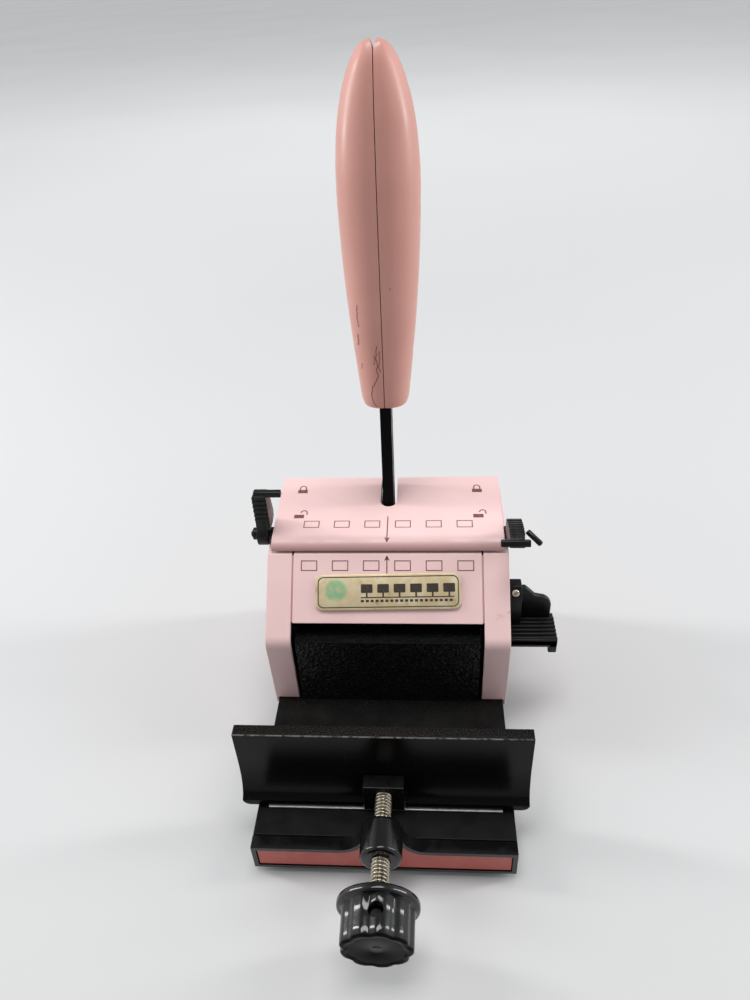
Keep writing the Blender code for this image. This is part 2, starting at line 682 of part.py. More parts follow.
def build_hand_lever():
    turn = pivot("handle_axis", (0, PIVOT_Y, PIVOT_Z))
    frame = lever_frame()
    lever = plate("lever_bar", lever_outline(), "X", -LEVER_HALF, LEVER_HALF, BLACK)
    cut(lever, cylinder("lever_eye", SHAFT_R + GAP, (-5, 0, 0), (5, 0, 0), BLACK, 24))
    halves = []
    for side in (-1, 1):
        name = "grip_left" if side < 0 else "grip_right"
        half = grip_half(name, side)
        pocket = box(name + "_pocket", (-LEVER_HALF - GAP, -LEVER_DEPTH / 2 - GAP, GRIP_LOW - 5),
                     (LEVER_HALF + GAP, LEVER_DEPTH / 2 + GAP, GRIP_TOP - 31), GRIP_PINK)
        cut(half, pocket)
        halves.append(half)
    screws = []
    for tag, along, reach in (("lower", 92.0, 9.0), ("upper", 146.0, 12.0)):
        screw = cylinder("grip_screw_" + tag, 1.7, (-7, 0, along), (reach, 0, along), ZINC, 12)
        screws.append(screw)
        for piece in (*halves, lever):
            hole = cylinder(f"screw_hole_{tag}_{piece.name}", 2.1, (-7.4, 0, along), (20, 0, along),
                            ZINC, 12)
            cut(piece, hole)
            hole.matrix_world = frame @ hole.matrix_world
    for piece in (lever, *halves, *screws):
        for modifier in piece.modifiers:
            tool = modifier.object
            if not tool.name.startswith("screw_hole"):
                tool.matrix_world = frame @ tool.matrix_world
        piece.matrix_world = frame @ piece.matrix_world
        hang(piece, turn)
    hang(cylinder("handle_shaft", SHAFT_R, (-44.8, PIVOT_Y, PIVOT_Z), (44.8, PIVOT_Y, PIVOT_Z), STEEL, 24),
         turn)
    for side in (-1, 1):
        build_cam(side, turn)


def build_cam(side, turn):
    name = "punch_cam_left" if side < 0 else "punch_cam_right"
    low, high = side * CAM_X - 2.5, side * CAM_X + 2.5
    start = radians(CAM_START)
    centre_y = PIVOT_Y - CAM_OFFSET * cos(start)
    centre_z = PIVOT_Z + CAM_OFFSET * sin(start)
    cam = cylinder(name, CAM_R, (low, centre_y, centre_z), (high, centre_y, centre_z), STEEL, 32)
    join(cam, cylinder(name + "_hub", 5.6, (low, PIVOT_Y, PIVOT_Z), (high, PIVOT_Y, PIVOT_Z), STEEL, 24))
    cut(cam, cylinder(name + "_bore", SHAFT_R + GAP, (low - 2, PIVOT_Y, PIVOT_Z),
                      (high + 2, PIVOT_Y, PIVOT_Z), STEEL, 24))
    hang(cam, turn)


# ---------------------------------------------------------------- fence and screw

def build_fence():
    travel = pivot("fence_travel", (0, FENCE_BACK_Y, DECK))
    fence = plate("fence", fence_outline(), "X", -FENCE_HALF, FENCE_HALF, BLACK)
    block_back = FRONT + 20.7
    cut(fence, box("block_seat", (-7.5 - GAP, FRONT + 10, FENCE_LOW - 3),
                   (7.5 + GAP, block_back + GAP, 31 + GAP), BLACK))
    hang(fence, travel)
    block = box("fence_block", (-7.5, FRONT + 15.2, FENCE_LOW), (7.5, block_back, 31), BLACK)
    cut(block, cylinder("block_bore", SCREW_R + GAP, (0, FRONT + 10, SCREW_Z),
                        (0, FRONT + 19.4, SCREW_Z), BLACK, 24))
    hang(block, travel)
    hang(box("fence_shoe", (-43.5, FRONT + 15.7, DECK + GAP), (43.5, FRONT + 21.3, FENCE_LOW - GAP),
             ZINC), travel)


def build_screw():
    travel = pivot("screw_axis", (0, FRONT, SCREW_Z))
    hang(cylinder("adjusting_screw", SCREW_R, (0, KNOB_FRONT_Y + 3, SCREW_Z), (0, FRONT + 19.0, SCREW_Z),
                  ZINC, 16), travel)
    knob = plate("adjusting_knob", knob_outline(), "Y", KNOB_FRONT_Y, KNOB_REAR_Y - 1, BLACK_PLASTIC)
    join(knob, cylinder("knob_flange", FLANGE_R, (0, KNOB_REAR_Y - FLANGE_THICK, SCREW_Z),
                        (0, KNOB_REAR_Y, SCREW_Z), BLACK_PLASTIC, 40))
    cut(knob, cylinder("knob_bore", SCREW_R + GAP, (0, KNOB_FRONT_Y + 3 - GAP, SCREW_Z),
                       (0, KNOB_REAR_Y + 2, SCREW_Z), BLACK_PLASTIC, 24))
    cut(knob, cylinder("set_screw_hole", 2.6, (0, SET_SCREW_Y, SCREW_Z + 1), (0, SET_SCREW_Y, SCREW_Z + 20),
                       BLACK_PLASTIC, 20))
    hang(knob, travel)
    low = SCREW_Z + SCREW_R + GAP
    hang(cylinder("knob_set_screw", 2.2, (0, SET_SCREW_Y, low), (0, SET_SCREW_Y, low + 4.5),
                  BLACK, 16), travel)


# ---------------------------------------------------------------- side levers

def side_lever(name, side, tilt, finger_inner, finger_outer, pin_tip):
    """Lever on the upper housing's side, stood up and then tipped forward by a tilt."""
    axis = pivot(name + "_axis", (side * SIDE_LEVER_INNER, HUB_Y, HUB_Z))
    low, high = sorted((side * SIDE_LEVER_INNER, side * SIDE_LEVER_OUTER))
    body = plate(name, side_lever_outline(), "X", low, high, BLACK_PLASTIC)
    inside = sorted((side * (HEAD_HALF + 0.5), side * (SIDE_LEVER_INNER + 0.5)))
    neck = plate(name + "_neck", [(-2.9, 3.8), (2.9, 3.8)] + LEVER_NECK, "X", inside[0], inside[1],
                 BLACK_PLASTIC)
    peg = sorted((side * finger_inner, side * finger_outer))
    finger = box(name + "_finger", (peg[0], -2.2, 19.8), (peg[1], 0.6, 22.5), BLACK_PLASTIC)
    boss = cylinder(name + "_boss", 2.8, (side * (HEAD_HALF + GAP), 0, 0),
                    (side * (SIDE_LEVER_INNER + 1), 0, 0), BLACK_PLASTIC, 20)
    bore = cylinder(name + "_bore", 1.6, (side * 45, 0, 0), (side * 57, 0, 0), BLACK_PLASTIC, 16)
    join(body, neck)
    join(body, finger)
    join(body, boss)
    cut(body, bore)
    frame = (Matrix.Translation(Vector((0, HUB_Y, HUB_Z)) * MM)
             @ Matrix.Rotation(radians(tilt), 4, "X"))
    for piece in (body, neck, finger, boss, bore):
        piece.matrix_world = frame @ piece.matrix_world
    hang(body, axis)
    start = side * (HEAD_HALF - HEAD_WALL + 0.05)
    pin = cylinder(name + "_pin", 1.3, (start, HUB_Y, HUB_Z), (side * pin_tip, HUB_Y, HUB_Z), BLACK, 16)
    join(pin, cylinder(name + "_pin_head", 2.6, (side * (SIDE_LEVER_OUTER + GAP), HUB_Y, HUB_Z),
                       (side * (pin_tip - 0.9), HUB_Y, HUB_Z), BLACK, 16))
    hang(pin, axis)
    return axis


def build_side_levers():
    side_lever("left_lever", -1, 0.0, 41.9, 52.9, 56.9)
    axis = side_lever("right_lever", 1, RIGHT_LEVER_TILT, 44.4, 55.7, 55.8)
    rod = cylinder("right_lever_rod", 1.2, (57.0, HUB_Y - 0.2, HUB_Z + 0.9), (62.4, HUB_Y - 5, HUB_Z - 2.2),
                   BLACK, 12)
    hang(rod, axis)


def build_thumb_lever():
    axis = pivot("thumb_axis", (PANEL_HALF, THUMB_Y, THUMB_Z))
    inner = PANEL_HALF + 0.5
    shelf_y = FRONT + 74.8
    wall_y = FRONT + 88.0
    lever = box("thumb_lever", (inner, shelf_y, 41.5), (69, wall_y + 3, 45), BLACK_PLASTIC)
    wing = [(inner, 42), (67.5, 42), (67.5, 51.5)] + arc((63, 51.5), 4.5, 0, 80, 4) + [
        (58.5, 57.5), (56, 61.0), (inner, 61.0)]
    join(lever, plate("thumb_wing", wing, "Y", wall_y, wall_y + 2.6, BLACK_PLASTIC))
    fin = [(wall_y - 5, 43), (wall_y + 9, 43), (wall_y + 9, 57), (wall_y + 4, 62.5), (wall_y - 0.5, 62.5),
           (wall_y - 3.5, 56)]
    join(lever, plate("thumb_fin", fin, "X", inner, inner + 5.2, BLACK_PLASTIC))
    join(lever, box("thumb_tab", (65.6, shelf_y, 37), (69, shelf_y + 2.5, 43), BLACK_PLASTIC))
    cut(lever, cylinder("thumb_bore", 1.9, (inner - 3, THUMB_Y, THUMB_Z), (inner + 9, THUMB_Y, THUMB_Z),
                        BLACK_PLASTIC, 16))
    hang(lever, axis)
    pin = cylinder("thumb_lever_pin", 1.6, (PANEL_HALF - 1.4, THUMB_Y, THUMB_Z),
                   (inner + 6.4, THUMB_Y, THUMB_Z), STEEL, 16)
    join(pin, cylinder("thumb_pin_head", 2.1, (inner + 5.2 + GAP, THUMB_Y, THUMB_Z),
                       (inner + 6.5, THUMB_Y, THUMB_Z), STEEL, 16))
    hang(pin, axis)
    screw_y = wall_y - 1.4
    hang(cylinder("thumb_lever_screw", 1.6, (inner + 2.6, screw_y - 1.6, 60.8),
                  (inner + 2.6, screw_y - 0.6, 60.2), ZINC, 16), axis)


def main():
    build_base()
    build_front_bracket()
    for side in (-1, 1):
        build_side_panel(side)
        build_side_frame(side)
    build_covers()
    build_head()
    build_punch_fixed()
    build_punch_carriage()
    build_ram()
    build_hand_lever()
    build_fence()
    build_screw()
    build_side_levers()
    build_thumb_lever()


main()
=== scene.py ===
"""Looks of the desktop punch and wire-binding machine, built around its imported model.

Lengths in the helpers are millimetres. Depths are counted from the base's front face, so
place() turns (across, depth, height) into a point of the model's frame in metres.
"""

from math import ceil, cos, pi, radians, sin, sqrt

import bmesh
import bpy
from mathutils import Matrix, Vector
from mathutils.bvhtree import BVHTree


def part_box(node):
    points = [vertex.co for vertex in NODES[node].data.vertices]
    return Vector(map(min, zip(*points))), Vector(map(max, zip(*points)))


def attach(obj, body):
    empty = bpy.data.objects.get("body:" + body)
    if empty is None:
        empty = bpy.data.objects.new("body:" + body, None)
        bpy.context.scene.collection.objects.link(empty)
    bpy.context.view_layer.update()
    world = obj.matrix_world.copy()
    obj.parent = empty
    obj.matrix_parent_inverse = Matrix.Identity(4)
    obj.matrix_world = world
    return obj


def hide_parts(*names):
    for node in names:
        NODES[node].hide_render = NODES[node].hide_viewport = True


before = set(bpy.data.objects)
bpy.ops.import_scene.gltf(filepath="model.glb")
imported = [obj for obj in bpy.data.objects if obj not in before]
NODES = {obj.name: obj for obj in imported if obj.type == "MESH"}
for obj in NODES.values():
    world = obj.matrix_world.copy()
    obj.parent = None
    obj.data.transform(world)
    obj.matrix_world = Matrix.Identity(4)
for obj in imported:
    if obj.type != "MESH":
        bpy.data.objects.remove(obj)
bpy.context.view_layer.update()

MM = 0.001
FRONT = -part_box("base_housing")[1].y     # the base is centred on the origin

SCREW_Z = 25.0
THREAD_PITCH = 1.27
THREAD_CREST = 3.15
THREAD_ROOT = 2.62
PIVOT = (0.0, 118.5, 57.0)
LEVER_LEAN = 8.0
HUB = (101.0, 79.6)
SLOPE_DIRECTION = Vector((0, 26.1, 25.6)).normalized()
HOLE_PITCH = 12.7
HOLES = 6
GRIP_FOOT = 70.7                         # distance from the pivot along the lever
GRIP_LENGTH = 125.0
HUB_RADIUS = 4.75
LEVER_PLATE = (49.4, 53.8)               # inner and outer faces of a side lever's plate
KNOB_LOBES = 9
FENCE_BEND_Z = 36.0                      # the fence is upright above this height
FENCE_FRONT = 21.0
FENCE_BACK = 25.5
PLAQUE_PRINT_LIFT = 0.43
PRINT_LIFT = 0.035
OUTLINE_WIDTH = 0.38
ARROW_WIDTH = 0.44

PALE_PINK = (0.815, 0.575, 0.565)
SHADED_PINK = (0.775, 0.53, 0.515)
MAROON = (0.16, 0.05, 0.05)


# ------------------------ small helpers

def place(across, depth, height):
    return Vector((across * MM, FRONT + depth * MM, height * MM))


def new_material(name, colour, roughness, metallic=0.0, specular=0.5):
    material = bpy.data.materials.new(name)
    material.use_nodes = True
    shader = material.node_tree.nodes["Principled BSDF"]
    shader.inputs["Specular IOR Level"].default_value = specular
    shader.inputs["Base Color"].default_value = (*colour, 1.0)
    shader.inputs["Roughness"].default_value = roughness
    shader.inputs["Metallic"].default_value = metallic
    return material


def shader_of(material):
    return material.node_tree.nodes["Principled BSDF"]


def position(material):
    return material.node_tree.nodes.new("ShaderNodeTexCoord").outputs["Object"]


def noise(material, scale, detail=3.0, distortion=0.0):
    """Noise value between 0 and 1, with its scale in cells per metre."""
    texture = material.node_tree.nodes.new("ShaderNodeTexNoise")
    texture.inputs["Scale"].default_value = scale
    texture.inputs["Detail"].default_value = detail
    texture.inputs["Distortion"].default_value = distortion
    material.node_tree.links.new(position(material), texture.inputs["Vector"])
    return texture.outputs["Fac"]


def cells(material, scale, feature="F1"):
    texture = material.node_tree.nodes.new("ShaderNodeTexVoronoi")
    texture.feature = feature
    texture.inputs["Scale"].default_value = scale
    material.node_tree.links.new(position(material), texture.inputs["Vector"])
    return texture.outputs["Distance"]


def window(material, value, low, high, low_out=0.0, high_out=1.0, blend="SMOOTHSTEP"):
    """Map a value from one span to another, clamped and by default smoothed at its ends."""
    node = material.node_tree.nodes.new("ShaderNodeMapRange")
    node.interpolation_type = blend
    node.inputs["From Min"].default_value = low
    node.inputs["From Max"].default_value = high
    node.inputs["To Min"].default_value = low_out
    node.inputs["To Max"].default_value = high_out
    material.node_tree.links.new(value, node.inputs["Value"])
    return node.outputs["Result"]


def maths(material, operation, first, second):
    node = material.node_tree.nodes.new("ShaderNodeMath")
    node.operation = operation
    for socket, value in zip(node.inputs, (first, second)):
        if isinstance(value, (int, float)):
            socket.default_value = value
        else:
            material.node_tree.links.new(value, socket)
    return node.outputs["Value"]


def product(material, *values):
    result = values[0]
    for value in values[1:]:
        result = maths(material, "MULTIPLY", result, value)
    return result


def axis_value(material, axis):
    split = material.node_tree.nodes.new("ShaderNodeSeparateXYZ")
    material.node_tree.links.new(position(material), split.inputs["Vector"])
    return split.outputs[axis]


def distance_to(material, point):
    node = material.node_tree.nodes.new("ShaderNodeVectorMath")
    node.operation = "DISTANCE"
    material.node_tree.links.new(position(material), node.inputs[0])
    node.inputs[1].default_value = point
    return node.outputs["Value"]


def blend_colour(material, factor, under, over):
    """Colour that goes from under to over; under may be a colour or another socket."""
    node = material.node_tree.nodes.new("ShaderNodeMix")
    node.data_type = "RGBA"
    links = material.node_tree.links
    links.new(factor, node.inputs["Factor"])
    if isinstance(under, tuple):
        node.inputs["A"].default_value = (*under, 1.0)
    else:
        links.new(under, node.inputs["A"])
    node.inputs["B"].default_value = (*over, 1.0)
    return node.outputs["Result"]


def set_colour(material, socket):
    material.node_tree.links.new(socket, shader_of(material).inputs["Base Color"])


def set_roughness(material, socket):
    material.node_tree.links.new(socket, shader_of(material).inputs["Roughness"])


def set_bump(material, height, distance, strength=1.0):
    node = material.node_tree.nodes.new("ShaderNodeBump")
    node.inputs["Distance"].default_value = distance
    node.inputs["Strength"].default_value = strength
    material.node_tree.links.new(height, node.inputs["Height"])
    material.node_tree.links.new(node.outputs["Normal"], shader_of(material).inputs["Normal"])


# ------------------------ materials

def moulded_pink(name, colour, shade, scuffs=()):
    """Satin moulded plastic: faint clouding, rare specks and rubbed brown scuffs."""
    material = new_material(name, colour, 0.36)
    cloud = window(material, noise(material, 35.0), 0.3, 0.75)
    tint = blend_colour(material, cloud, colour, shade)
    rare = window(material, noise(material, 60.0), 0.56, 0.68)
    specks = product(material, window(material, cells(material, 170.0), 0.085, 0.05), rare)
    tint = blend_colour(material, product(material, specks, 0.75), tint, (0.25, 0.13, 0.09))
    for point, radius, strength in scuffs:
        near = window(material, distance_to(material, point), radius, radius * 0.2)
        smear = window(material, noise(material, 260.0, 6.0), 0.4, 0.66)
        tint = blend_colour(material, product(material, near, smear, strength), tint, (0.42, 0.24, 0.15))
    set_colour(material, tint)
    set_roughness(material, window(material, noise(material, 120.0, 4.0), 0.25, 0.8, 0.30, 0.46))
    set_bump(material, noise(material, 1400.0, 2.0), 0.00003, 0.35)
    return material


def paint_nose_shade(material):
    """Painted shade: deepen the pink where the housing's nose turns down to the mouth."""
    tint = shader_of(material).inputs["Base Color"].links[0].from_socket
    # painted shade: the pink darkens towards the front of the nose, where it turns down and away from the
    # light
    nose_shade_zone = window(material, axis_value(material, "Y"), FRONT + 0.0985, FRONT + 0.0925)
    share = product(material, nose_shade_zone, 0.8)
    set_colour(material, blend_colour(material, share, tint, (0.42, 0.23, 0.22)))
    return material


def salmon_insert():
    colour = (0.50, 0.115, 0.092)
    material = new_material("salmon_insert_look", colour, 0.5)
    cloud = window(material, noise(material, 90.0), 0.3, 0.75)
    dust = window(material, noise(material, 1500.0, 4.0), 0.66, 0.78)
    tint = blend_colour(material, cloud, colour, (0.45, 0.095, 0.078))
    dusty = product(material, dust, 0.5)
    set_colour(material, blend_colour(material, dusty, tint, (0.62, 0.30, 0.25)))
    set_roughness(material, window(material, noise(material, 200.0), 0.3, 0.8, 0.42, 0.6))
    set_bump(material, noise(material, 2200.0, 2.0), 0.00002, 0.5)
    return material


def dust_on(material, tint, amount, colour=(0.20, 0.165, 0.11)):
    """Fine dust and lint over a colour, in loose clumps."""
    grains = window(material, noise(material, 2600.0, 5.0), 0.63, 0.72)
    clumps = window(material, noise(material, 95.0, 4.0), 0.45, 0.72)
    share = product(material, grains, clumps, amount)
    return blend_colour(material, share, tint, colour)


def enamel(name, roughness=0.3, deck=False, specular=0.22):
    """Smooth black enamel. On the deck, dust gathers in front of the ram."""
    colour = (0.0032, 0.0031, 0.0034)
    material = new_material(name, colour, roughness, 0.0, specular)
    cloud = window(material, noise(material, 55.0), 0.3, 0.75)
    tint = blend_colour(material, cloud, colour, (0.0052, 0.005, 0.0048))
    tint = dust_on(material, tint, 0.2)
    if deck:
        depth = axis_value(material, "Y")
        heap = product(material, window(material, depth, FRONT + 0.052, FRONT + 0.066),
                       window(material, noise(material, 2400.0, 6.0), 0.56, 0.68), 0.5)
        tint = blend_colour(material, heap, tint, (0.10, 0.085, 0.06))
    set_colour(material, tint)
    uneven = noise(material, 160.0, 5.0)
    set_roughness(material, window(material, uneven, 0.3, 0.75, roughness - 0.06, roughness + 0.14))
    set_bump(material, noise(material, 1900.0, 2.0), 0.00002, 0.5)
    return material


def worn_enamel():
    """Black enamel of the fence, rubbed down to grey-brown along its top edge."""
    colour = (0.0028, 0.0027, 0.0028)
    material = new_material("worn_enamel_look", colour, 0.2, 0.0, 0.13)
    height = axis_value(material, "Z")
    top = window(material, height, 0.0517, 0.0523)
    chips = window(material, noise(material, 2000.0, 6.0), 0.42, 0.72)
    spots = window(material, noise(material, 3200.0, 4.0), 0.58, 0.72)
    tint = blend_colour(material, product(material, top, chips, 0.5), colour, (0.030, 0.026, 0.021))
    tint = blend_colour(material, product(material, top, spots, 0.4), tint, (0.11, 0.10, 0.085))
    depth = axis_value(material, "Y")
    arris = product(material, window(material, height, 0.0519, 0.0524),
                    window(material, depth, FRONT + 0.0216, FRONT + 0.0212),
                    window(material, noise(material, 500.0, 4.0), 0.3, 0.6), 0.8)
    tint = blend_colour(material, arris, tint, (0.16, 0.155, 0.14))
    tint = dust_on(material, tint, 0.25)
    set_colour(material, tint)
    set_roughness(material, window(material, product(material, top, chips), 0.0, 1.0, 0.22, 0.5))
    set_bump(material, noise(material, 700.0, 4.0), 0.00005, 0.3)
    return material


def crinkle():
    """Black crinkle paint: close wrinkles with smooth crests that catch the light."""
    colour = (0.0038, 0.004, 0.0045)
    material = new_material("crinkle_look", colour, 0.3, 0.0, 0.35)
    wrinkles = noise(material, 620.0, 2.5, 1.8)
    pits = cells(material, 750.0, "SMOOTH_F1")
    height = maths(material, "ADD", wrinkles, product(material, pits, 0.5))
    tint = blend_colour(material, window(material, wrinkles, 0.55, 0.75), colour, (0.008, 0.0085, 0.0095))
    set_colour(material, tint)
    set_roughness(material, window(material, wrinkles, 0.3, 0.75, 0.36, 0.16))
    shine = window(material, axis_value(material, "Z"), 0.0499, 0.0503, 0.4, 0.05)
    material.node_tree.links.new(shine, shader_of(material).inputs["Specular IOR Level"])
    set_bump(material, height, 0.0006, 1.0)
    return material


def glossy_plastic(name, roughness, specular):
    colour = (0.0035, 0.0035, 0.0038)
    material = new_material(name, colour, roughness, 0.0, specular)
    cloud = window(material, noise(material, 300.0), 0.3, 0.75)
    tint = blend_colour(material, cloud, colour, (0.006, 0.006, 0.0065))
    set_colour(material, dust_on(material, tint, 0.2, (0.10, 0.095, 0.085)))
    uneven = noise(material, 380.0, 4.0)
    set_roughness(material, window(material, uneven, 0.3, 0.8, roughness - 0.04, roughness + 0.1))
    set_bump(material, noise(material, 1600.0, 2.0), 0.00001, 0.4)
    return material


def knob_plastic():
    """Glossy black plastic of the knob, duller and darker on its face."""
    material = glossy_plastic("knob_black_look", 0.12, 0.5)
    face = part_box("adjusting_knob")[0].y
    shine = window(material, axis_value(material, "Y"), face + 0.0003, face + 0.0009, 0.03, 0.5)
    material.node_tree.links.new(shine, shader_of(material).inputs["Specular IOR Level"])
    return material


def plated(name, colour, dirt, roughness):
    """Plated or plain steel with faint tarnish."""
    material = new_material(name, colour, roughness, 1.0)
    cloud = window(material, noise(material, 260.0, 4.0), 0.42, 0.72)
    set_colour(material, blend_colour(material, cloud, colour, dirt))
    uneven = noise(material, 700.0, 3.0)
    set_roughness(material, window(material, uneven, 0.3, 0.8, roughness - 0.06, roughness + 0.14))
    set_bump(material, noise(material, 2500.0, 2.0), 0.00001, 0.6)
    return material


def thread_metal():
    """Yellowish zinc, turning dark brown in the thread's roots."""
    colour = (0.60, 0.55, 0.44)
    material = new_material("thread_look", colour, 0.28, 1.0)
    links = material.node_tree.links
    flattened = material.node_tree.nodes.new("ShaderNodeVectorMath")
    flattened.operation = "MULTIPLY"
    links.new(position(material), flattened.inputs[0])
    flattened.inputs[1].default_value = (1.0, 0.0, 1.0)
    reach = material.node_tree.nodes.new("ShaderNodeVectorMath")
    reach.operation = "DISTANCE"
    links.new(flattened.outputs["Vector"], reach.inputs[0])
    reach.inputs[1].default_value = (0.0, 0.0, SCREW_Z * MM)
    deep, shallow = (THREAD_ROOT + 0.05) * MM, (THREAD_ROOT + 0.35) * MM
    root = window(material, reach.outputs["Value"], deep, shallow, 0.85, 0.0)
    cloud = window(material, noise(material, 500.0), 0.4, 0.7)
    tint = blend_colour(material, cloud, colour, (0.50, 0.44, 0.33))
    set_colour(material, blend_colour(material, root, tint, (0.09, 0.075, 0.05)))
    set_roughness(material, window(material, noise(material, 900.0), 0.3, 0.8, 0.22, 0.42))
    return material


def plaque_metal():
    """Pale gold plate with clouded brown wear and a faded green patch at its left."""
    colour = (0.60, 0.47, 0.27)
    material = new_material("plaque_look", colour, 0.36, 0.25)
    cloud = window(material, noise(material, 160.0, 4.0), 0.35, 0.7)
    tint = blend_colour(material, cloud, colour, (0.70, 0.60, 0.40))
    worn = window(material, noise(material, 260.0, 5.0, 0.8), 0.58, 0.75)
    tint = blend_colour(material, product(material, worn, 0.5), tint, (0.27, 0.19, 0.10))
    centre = place(-20.5, 80.9, 66.0)
    patch = window(material, distance_to(material, centre), 0.0052, 0.0036)
    soft = window(material, noise(material, 330.0, 3.0), 0.25, 0.6, 0.35, 1.0)
    green = product(material, patch, soft, 0.85)
    set_colour(material, blend_colour(material, green, tint, (0.20, 0.47, 0.24)))
    set_roughness(material, window(material, noise(material, 400.0), 0.3, 0.8, 0.3, 0.5))
    return material


def printed(name, colour):
    """Thin screen-printed ink with a little breakup."""
    material = new_material(name, colour, 0.5)
    pale = tuple(min(1.0, channel * 1.9 + 0.03) for channel in colour)
    breakup = window(material, noise(material, 1300.0, 3.0), 0.5, 0.72)
    set_colour(material, blend_colour(material, product(material, breakup, 0.6), colour, pale))
    set_bump(material, noise(material, 2000.0), 0.00001, 0.3)
    return material


def rubber():
    colour = (0.014, 0.014, 0.014)
    material = new_material("rubber_look", colour, 0.8)
    cloud = window(material, noise(material, 300.0), 0.35, 0.7)
    set_colour(material, blend_colour(material, cloud, colour, (0.03, 0.029, 0.028)))
    set_bump(material, noise(material, 1500.0), 0.00008, 0.5)
    return material


PINK = moulded_pink("pink_look", PALE_PINK, SHADED_PINK)
# housing pink with painted shade on its nose
HOUSING_PINK_NOSE_SHADE = paint_nose_shade(moulded_pink("housing_pink_nose_shade_look", PALE_PINK, SHADED_PINK))
PANEL_PINK = moulded_pink("panel_pink_look", PALE_PINK, SHADED_PINK,
                          [(place(44.0, 73.2, 59.2), 0.0022, 0.45), (place(46.6, 73.5, 59.4), 0.0026, 0.7),
                           (place(49.0, 73.8, 59.9), 0.0024, 0.9), (place(49.1, 81.0, 66.8), 0.0012, 0.6),
                           (place(49.1, 78.0, 63.8), 0.0010, 0.6)])
# darker copy of the pink: painted shade at the bottom of the grooves between cover and panels
GROOVE_SHADE_PINK = moulded_pink("groove_shade_pink_look", (0.62, 0.38, 0.35), (0.55, 0.33, 0.30))
GRIP_PINK = moulded_pink("grip_pink_look", (0.63, 0.305, 0.255), (0.59, 0.28, 0.235))
SALMON = salmon_insert()
ENAMEL = enamel("enamel_look")
GLOSS_ENAMEL = enamel("gloss_enamel_look", 0.09, specular=0.45)
DECK = enamel("deck_look", 0.38, deck=True, specular=0.12)
BAR_ENAMEL = enamel("bar_enamel_look", 0.34, specular=0.05)
WORN = worn_enamel()
CRINKLE = crinkle()
KNOB_BLACK = knob_plastic()
LEVER_BLACK = glossy_plastic("lever_black_look", 0.34, 0.3)
STEEL = plated("steel_look", (0.50, 0.49, 0.47), (0.36, 0.35, 0.33), 0.36)
ZINC = plated("zinc_look", (0.62, 0.58, 0.49), (0.46, 0.41, 0.32), 0.3)
SHOE = plated("shoe_look", (0.78, 0.77, 0.74), (0.60, 0.58, 0.54), 0.45)
BRONZE = plated("bronze_look", (0.50, 0.33, 0.16), (0.33, 0.20, 0.09), 0.36)
THREAD = thread_metal()
PLAQUE = plaque_metal()
INK = printed("marks_look", MAROON)
PLAQUE_INK = printed("plaque_ink_look", (0.030, 0.022, 0.014))
CRACK_INK = printed("crack_look", (0.24, 0.085, 0.06))
RUBBER = rubber()


# ------------------------ mesh helpers

def finished(obj, material, body, stands_for=(), sharp=35.0):
    """Apply an object's modifiers, smooth its shading and tie it to its body."""
    graph = bpy.context.evaluated_depsgraph_get()
    mesh = bpy.data.meshes.new_from_object(obj.evaluated_get(graph))
    obj.modifiers.clear()
    obj.data = mesh
    mesh.transform(obj.matrix_world)
    obj.matrix_world = Matrix.Identity(4)
    mesh.materials.clear()
    mesh.materials.append(material)
    mesh.shade_smooth()
    mesh.set_sharp_from_angle(angle=radians(sharp))
    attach(obj, body)
    if stands_for:
        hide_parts(*stands_for)
    return obj


def from_bmesh(name, shape):
    bmesh.ops.recalc_face_normals(shape, faces=shape.faces)
    mesh = bpy.data.meshes.new(name)
    shape.to_mesh(mesh)
    shape.free()
    obj = bpy.data.objects.new(name, mesh)
    bpy.context.scene.collection.objects.link(obj)
    return obj


def loft(name, rings):
    """Surface through closed rings of points, with capped ends."""
    shape = bmesh.new()
    rows = [[shape.verts.new(point) for point in ring] for ring in rings]
    count = len(rows[0])
    for lower, upper in zip(rows, rows[1:]):
        for index in range(count):
            after = (index + 1) % count
            shape.faces.new((lower[index], lower[after], upper[after], upper[index]))
    shape.faces.new(rows[0])
    shape.faces.new(rows[-1])
    return from_bmesh(name, shape)


def prism(name, outline, axis, low, high):
    """Outline extruded along X, with (depth, height) points, or along depth, with (across, height)."""
    rings = []
    for along in (low, high):
        if axis == "X":
            rings.append([place(along, u, v) for u, v in outline])
        else:
            rings.append([place(u, along, v) for u, v in outline])
    return loft(name, rings)


def block(name, low, high):
    outline = [(low[1], low[2]), (high[1], low[2]), (high[1], high[2]), (low[1], high[2])]
    return prism(name, outline, "X", low[0], high[0])


def circle(radius, segments):
    """Points of a circle around the Z axis, in metres, for a radius in millimetres."""
    turns = [2 * pi * i / segments for i in range(segments)]
    return [Vector((radius * MM * cos(turn), radius * MM * sin(turn), 0)) for turn in turns]


def rod(name, radius, start, end, segments=32):
    """Round bar between two places."""
    start, end = place(*start), place(*end)
    turn = (end - start).to_track_quat("Z", "Y").to_matrix()
    section = [turn @ point for point in circle(radius, segments)]
    return loft(name, [[origin + point for point in section] for origin in (start, end)])


def at_origin(obj):
    """Shift a helper shape so that its place(0, 0, 0) lies on the frame's origin."""
    obj.data.transform(Matrix.Translation(place(0, 0, 0)).inverted())
    return obj


def bevel(obj, width, segments=3, angle=35.0):
    modifier = obj.modifiers.new("bevel", "BEVEL")
    modifier.width = width * MM
    modifier.segments = segments
    modifier.limit_method = "ANGLE"
    modifier.angle_limit = radians(angle)
    return obj


def carve(obj, tool, operation="DIFFERENCE"):
    """Boolean with a helper shape, which is then removed."""
    modifier = obj.modifiers.new("carve", "BOOLEAN")
    modifier.operation = operation
    modifier.solver = "EXACT"
    modifier.object = tool
    graph = bpy.context.evaluated_depsgraph_get()
    mesh = bpy.data.meshes.new_from_object(obj.evaluated_get(graph))
    obj.modifiers.clear()
    obj.data = mesh
    bpy.data.objects.remove(tool)
    return obj


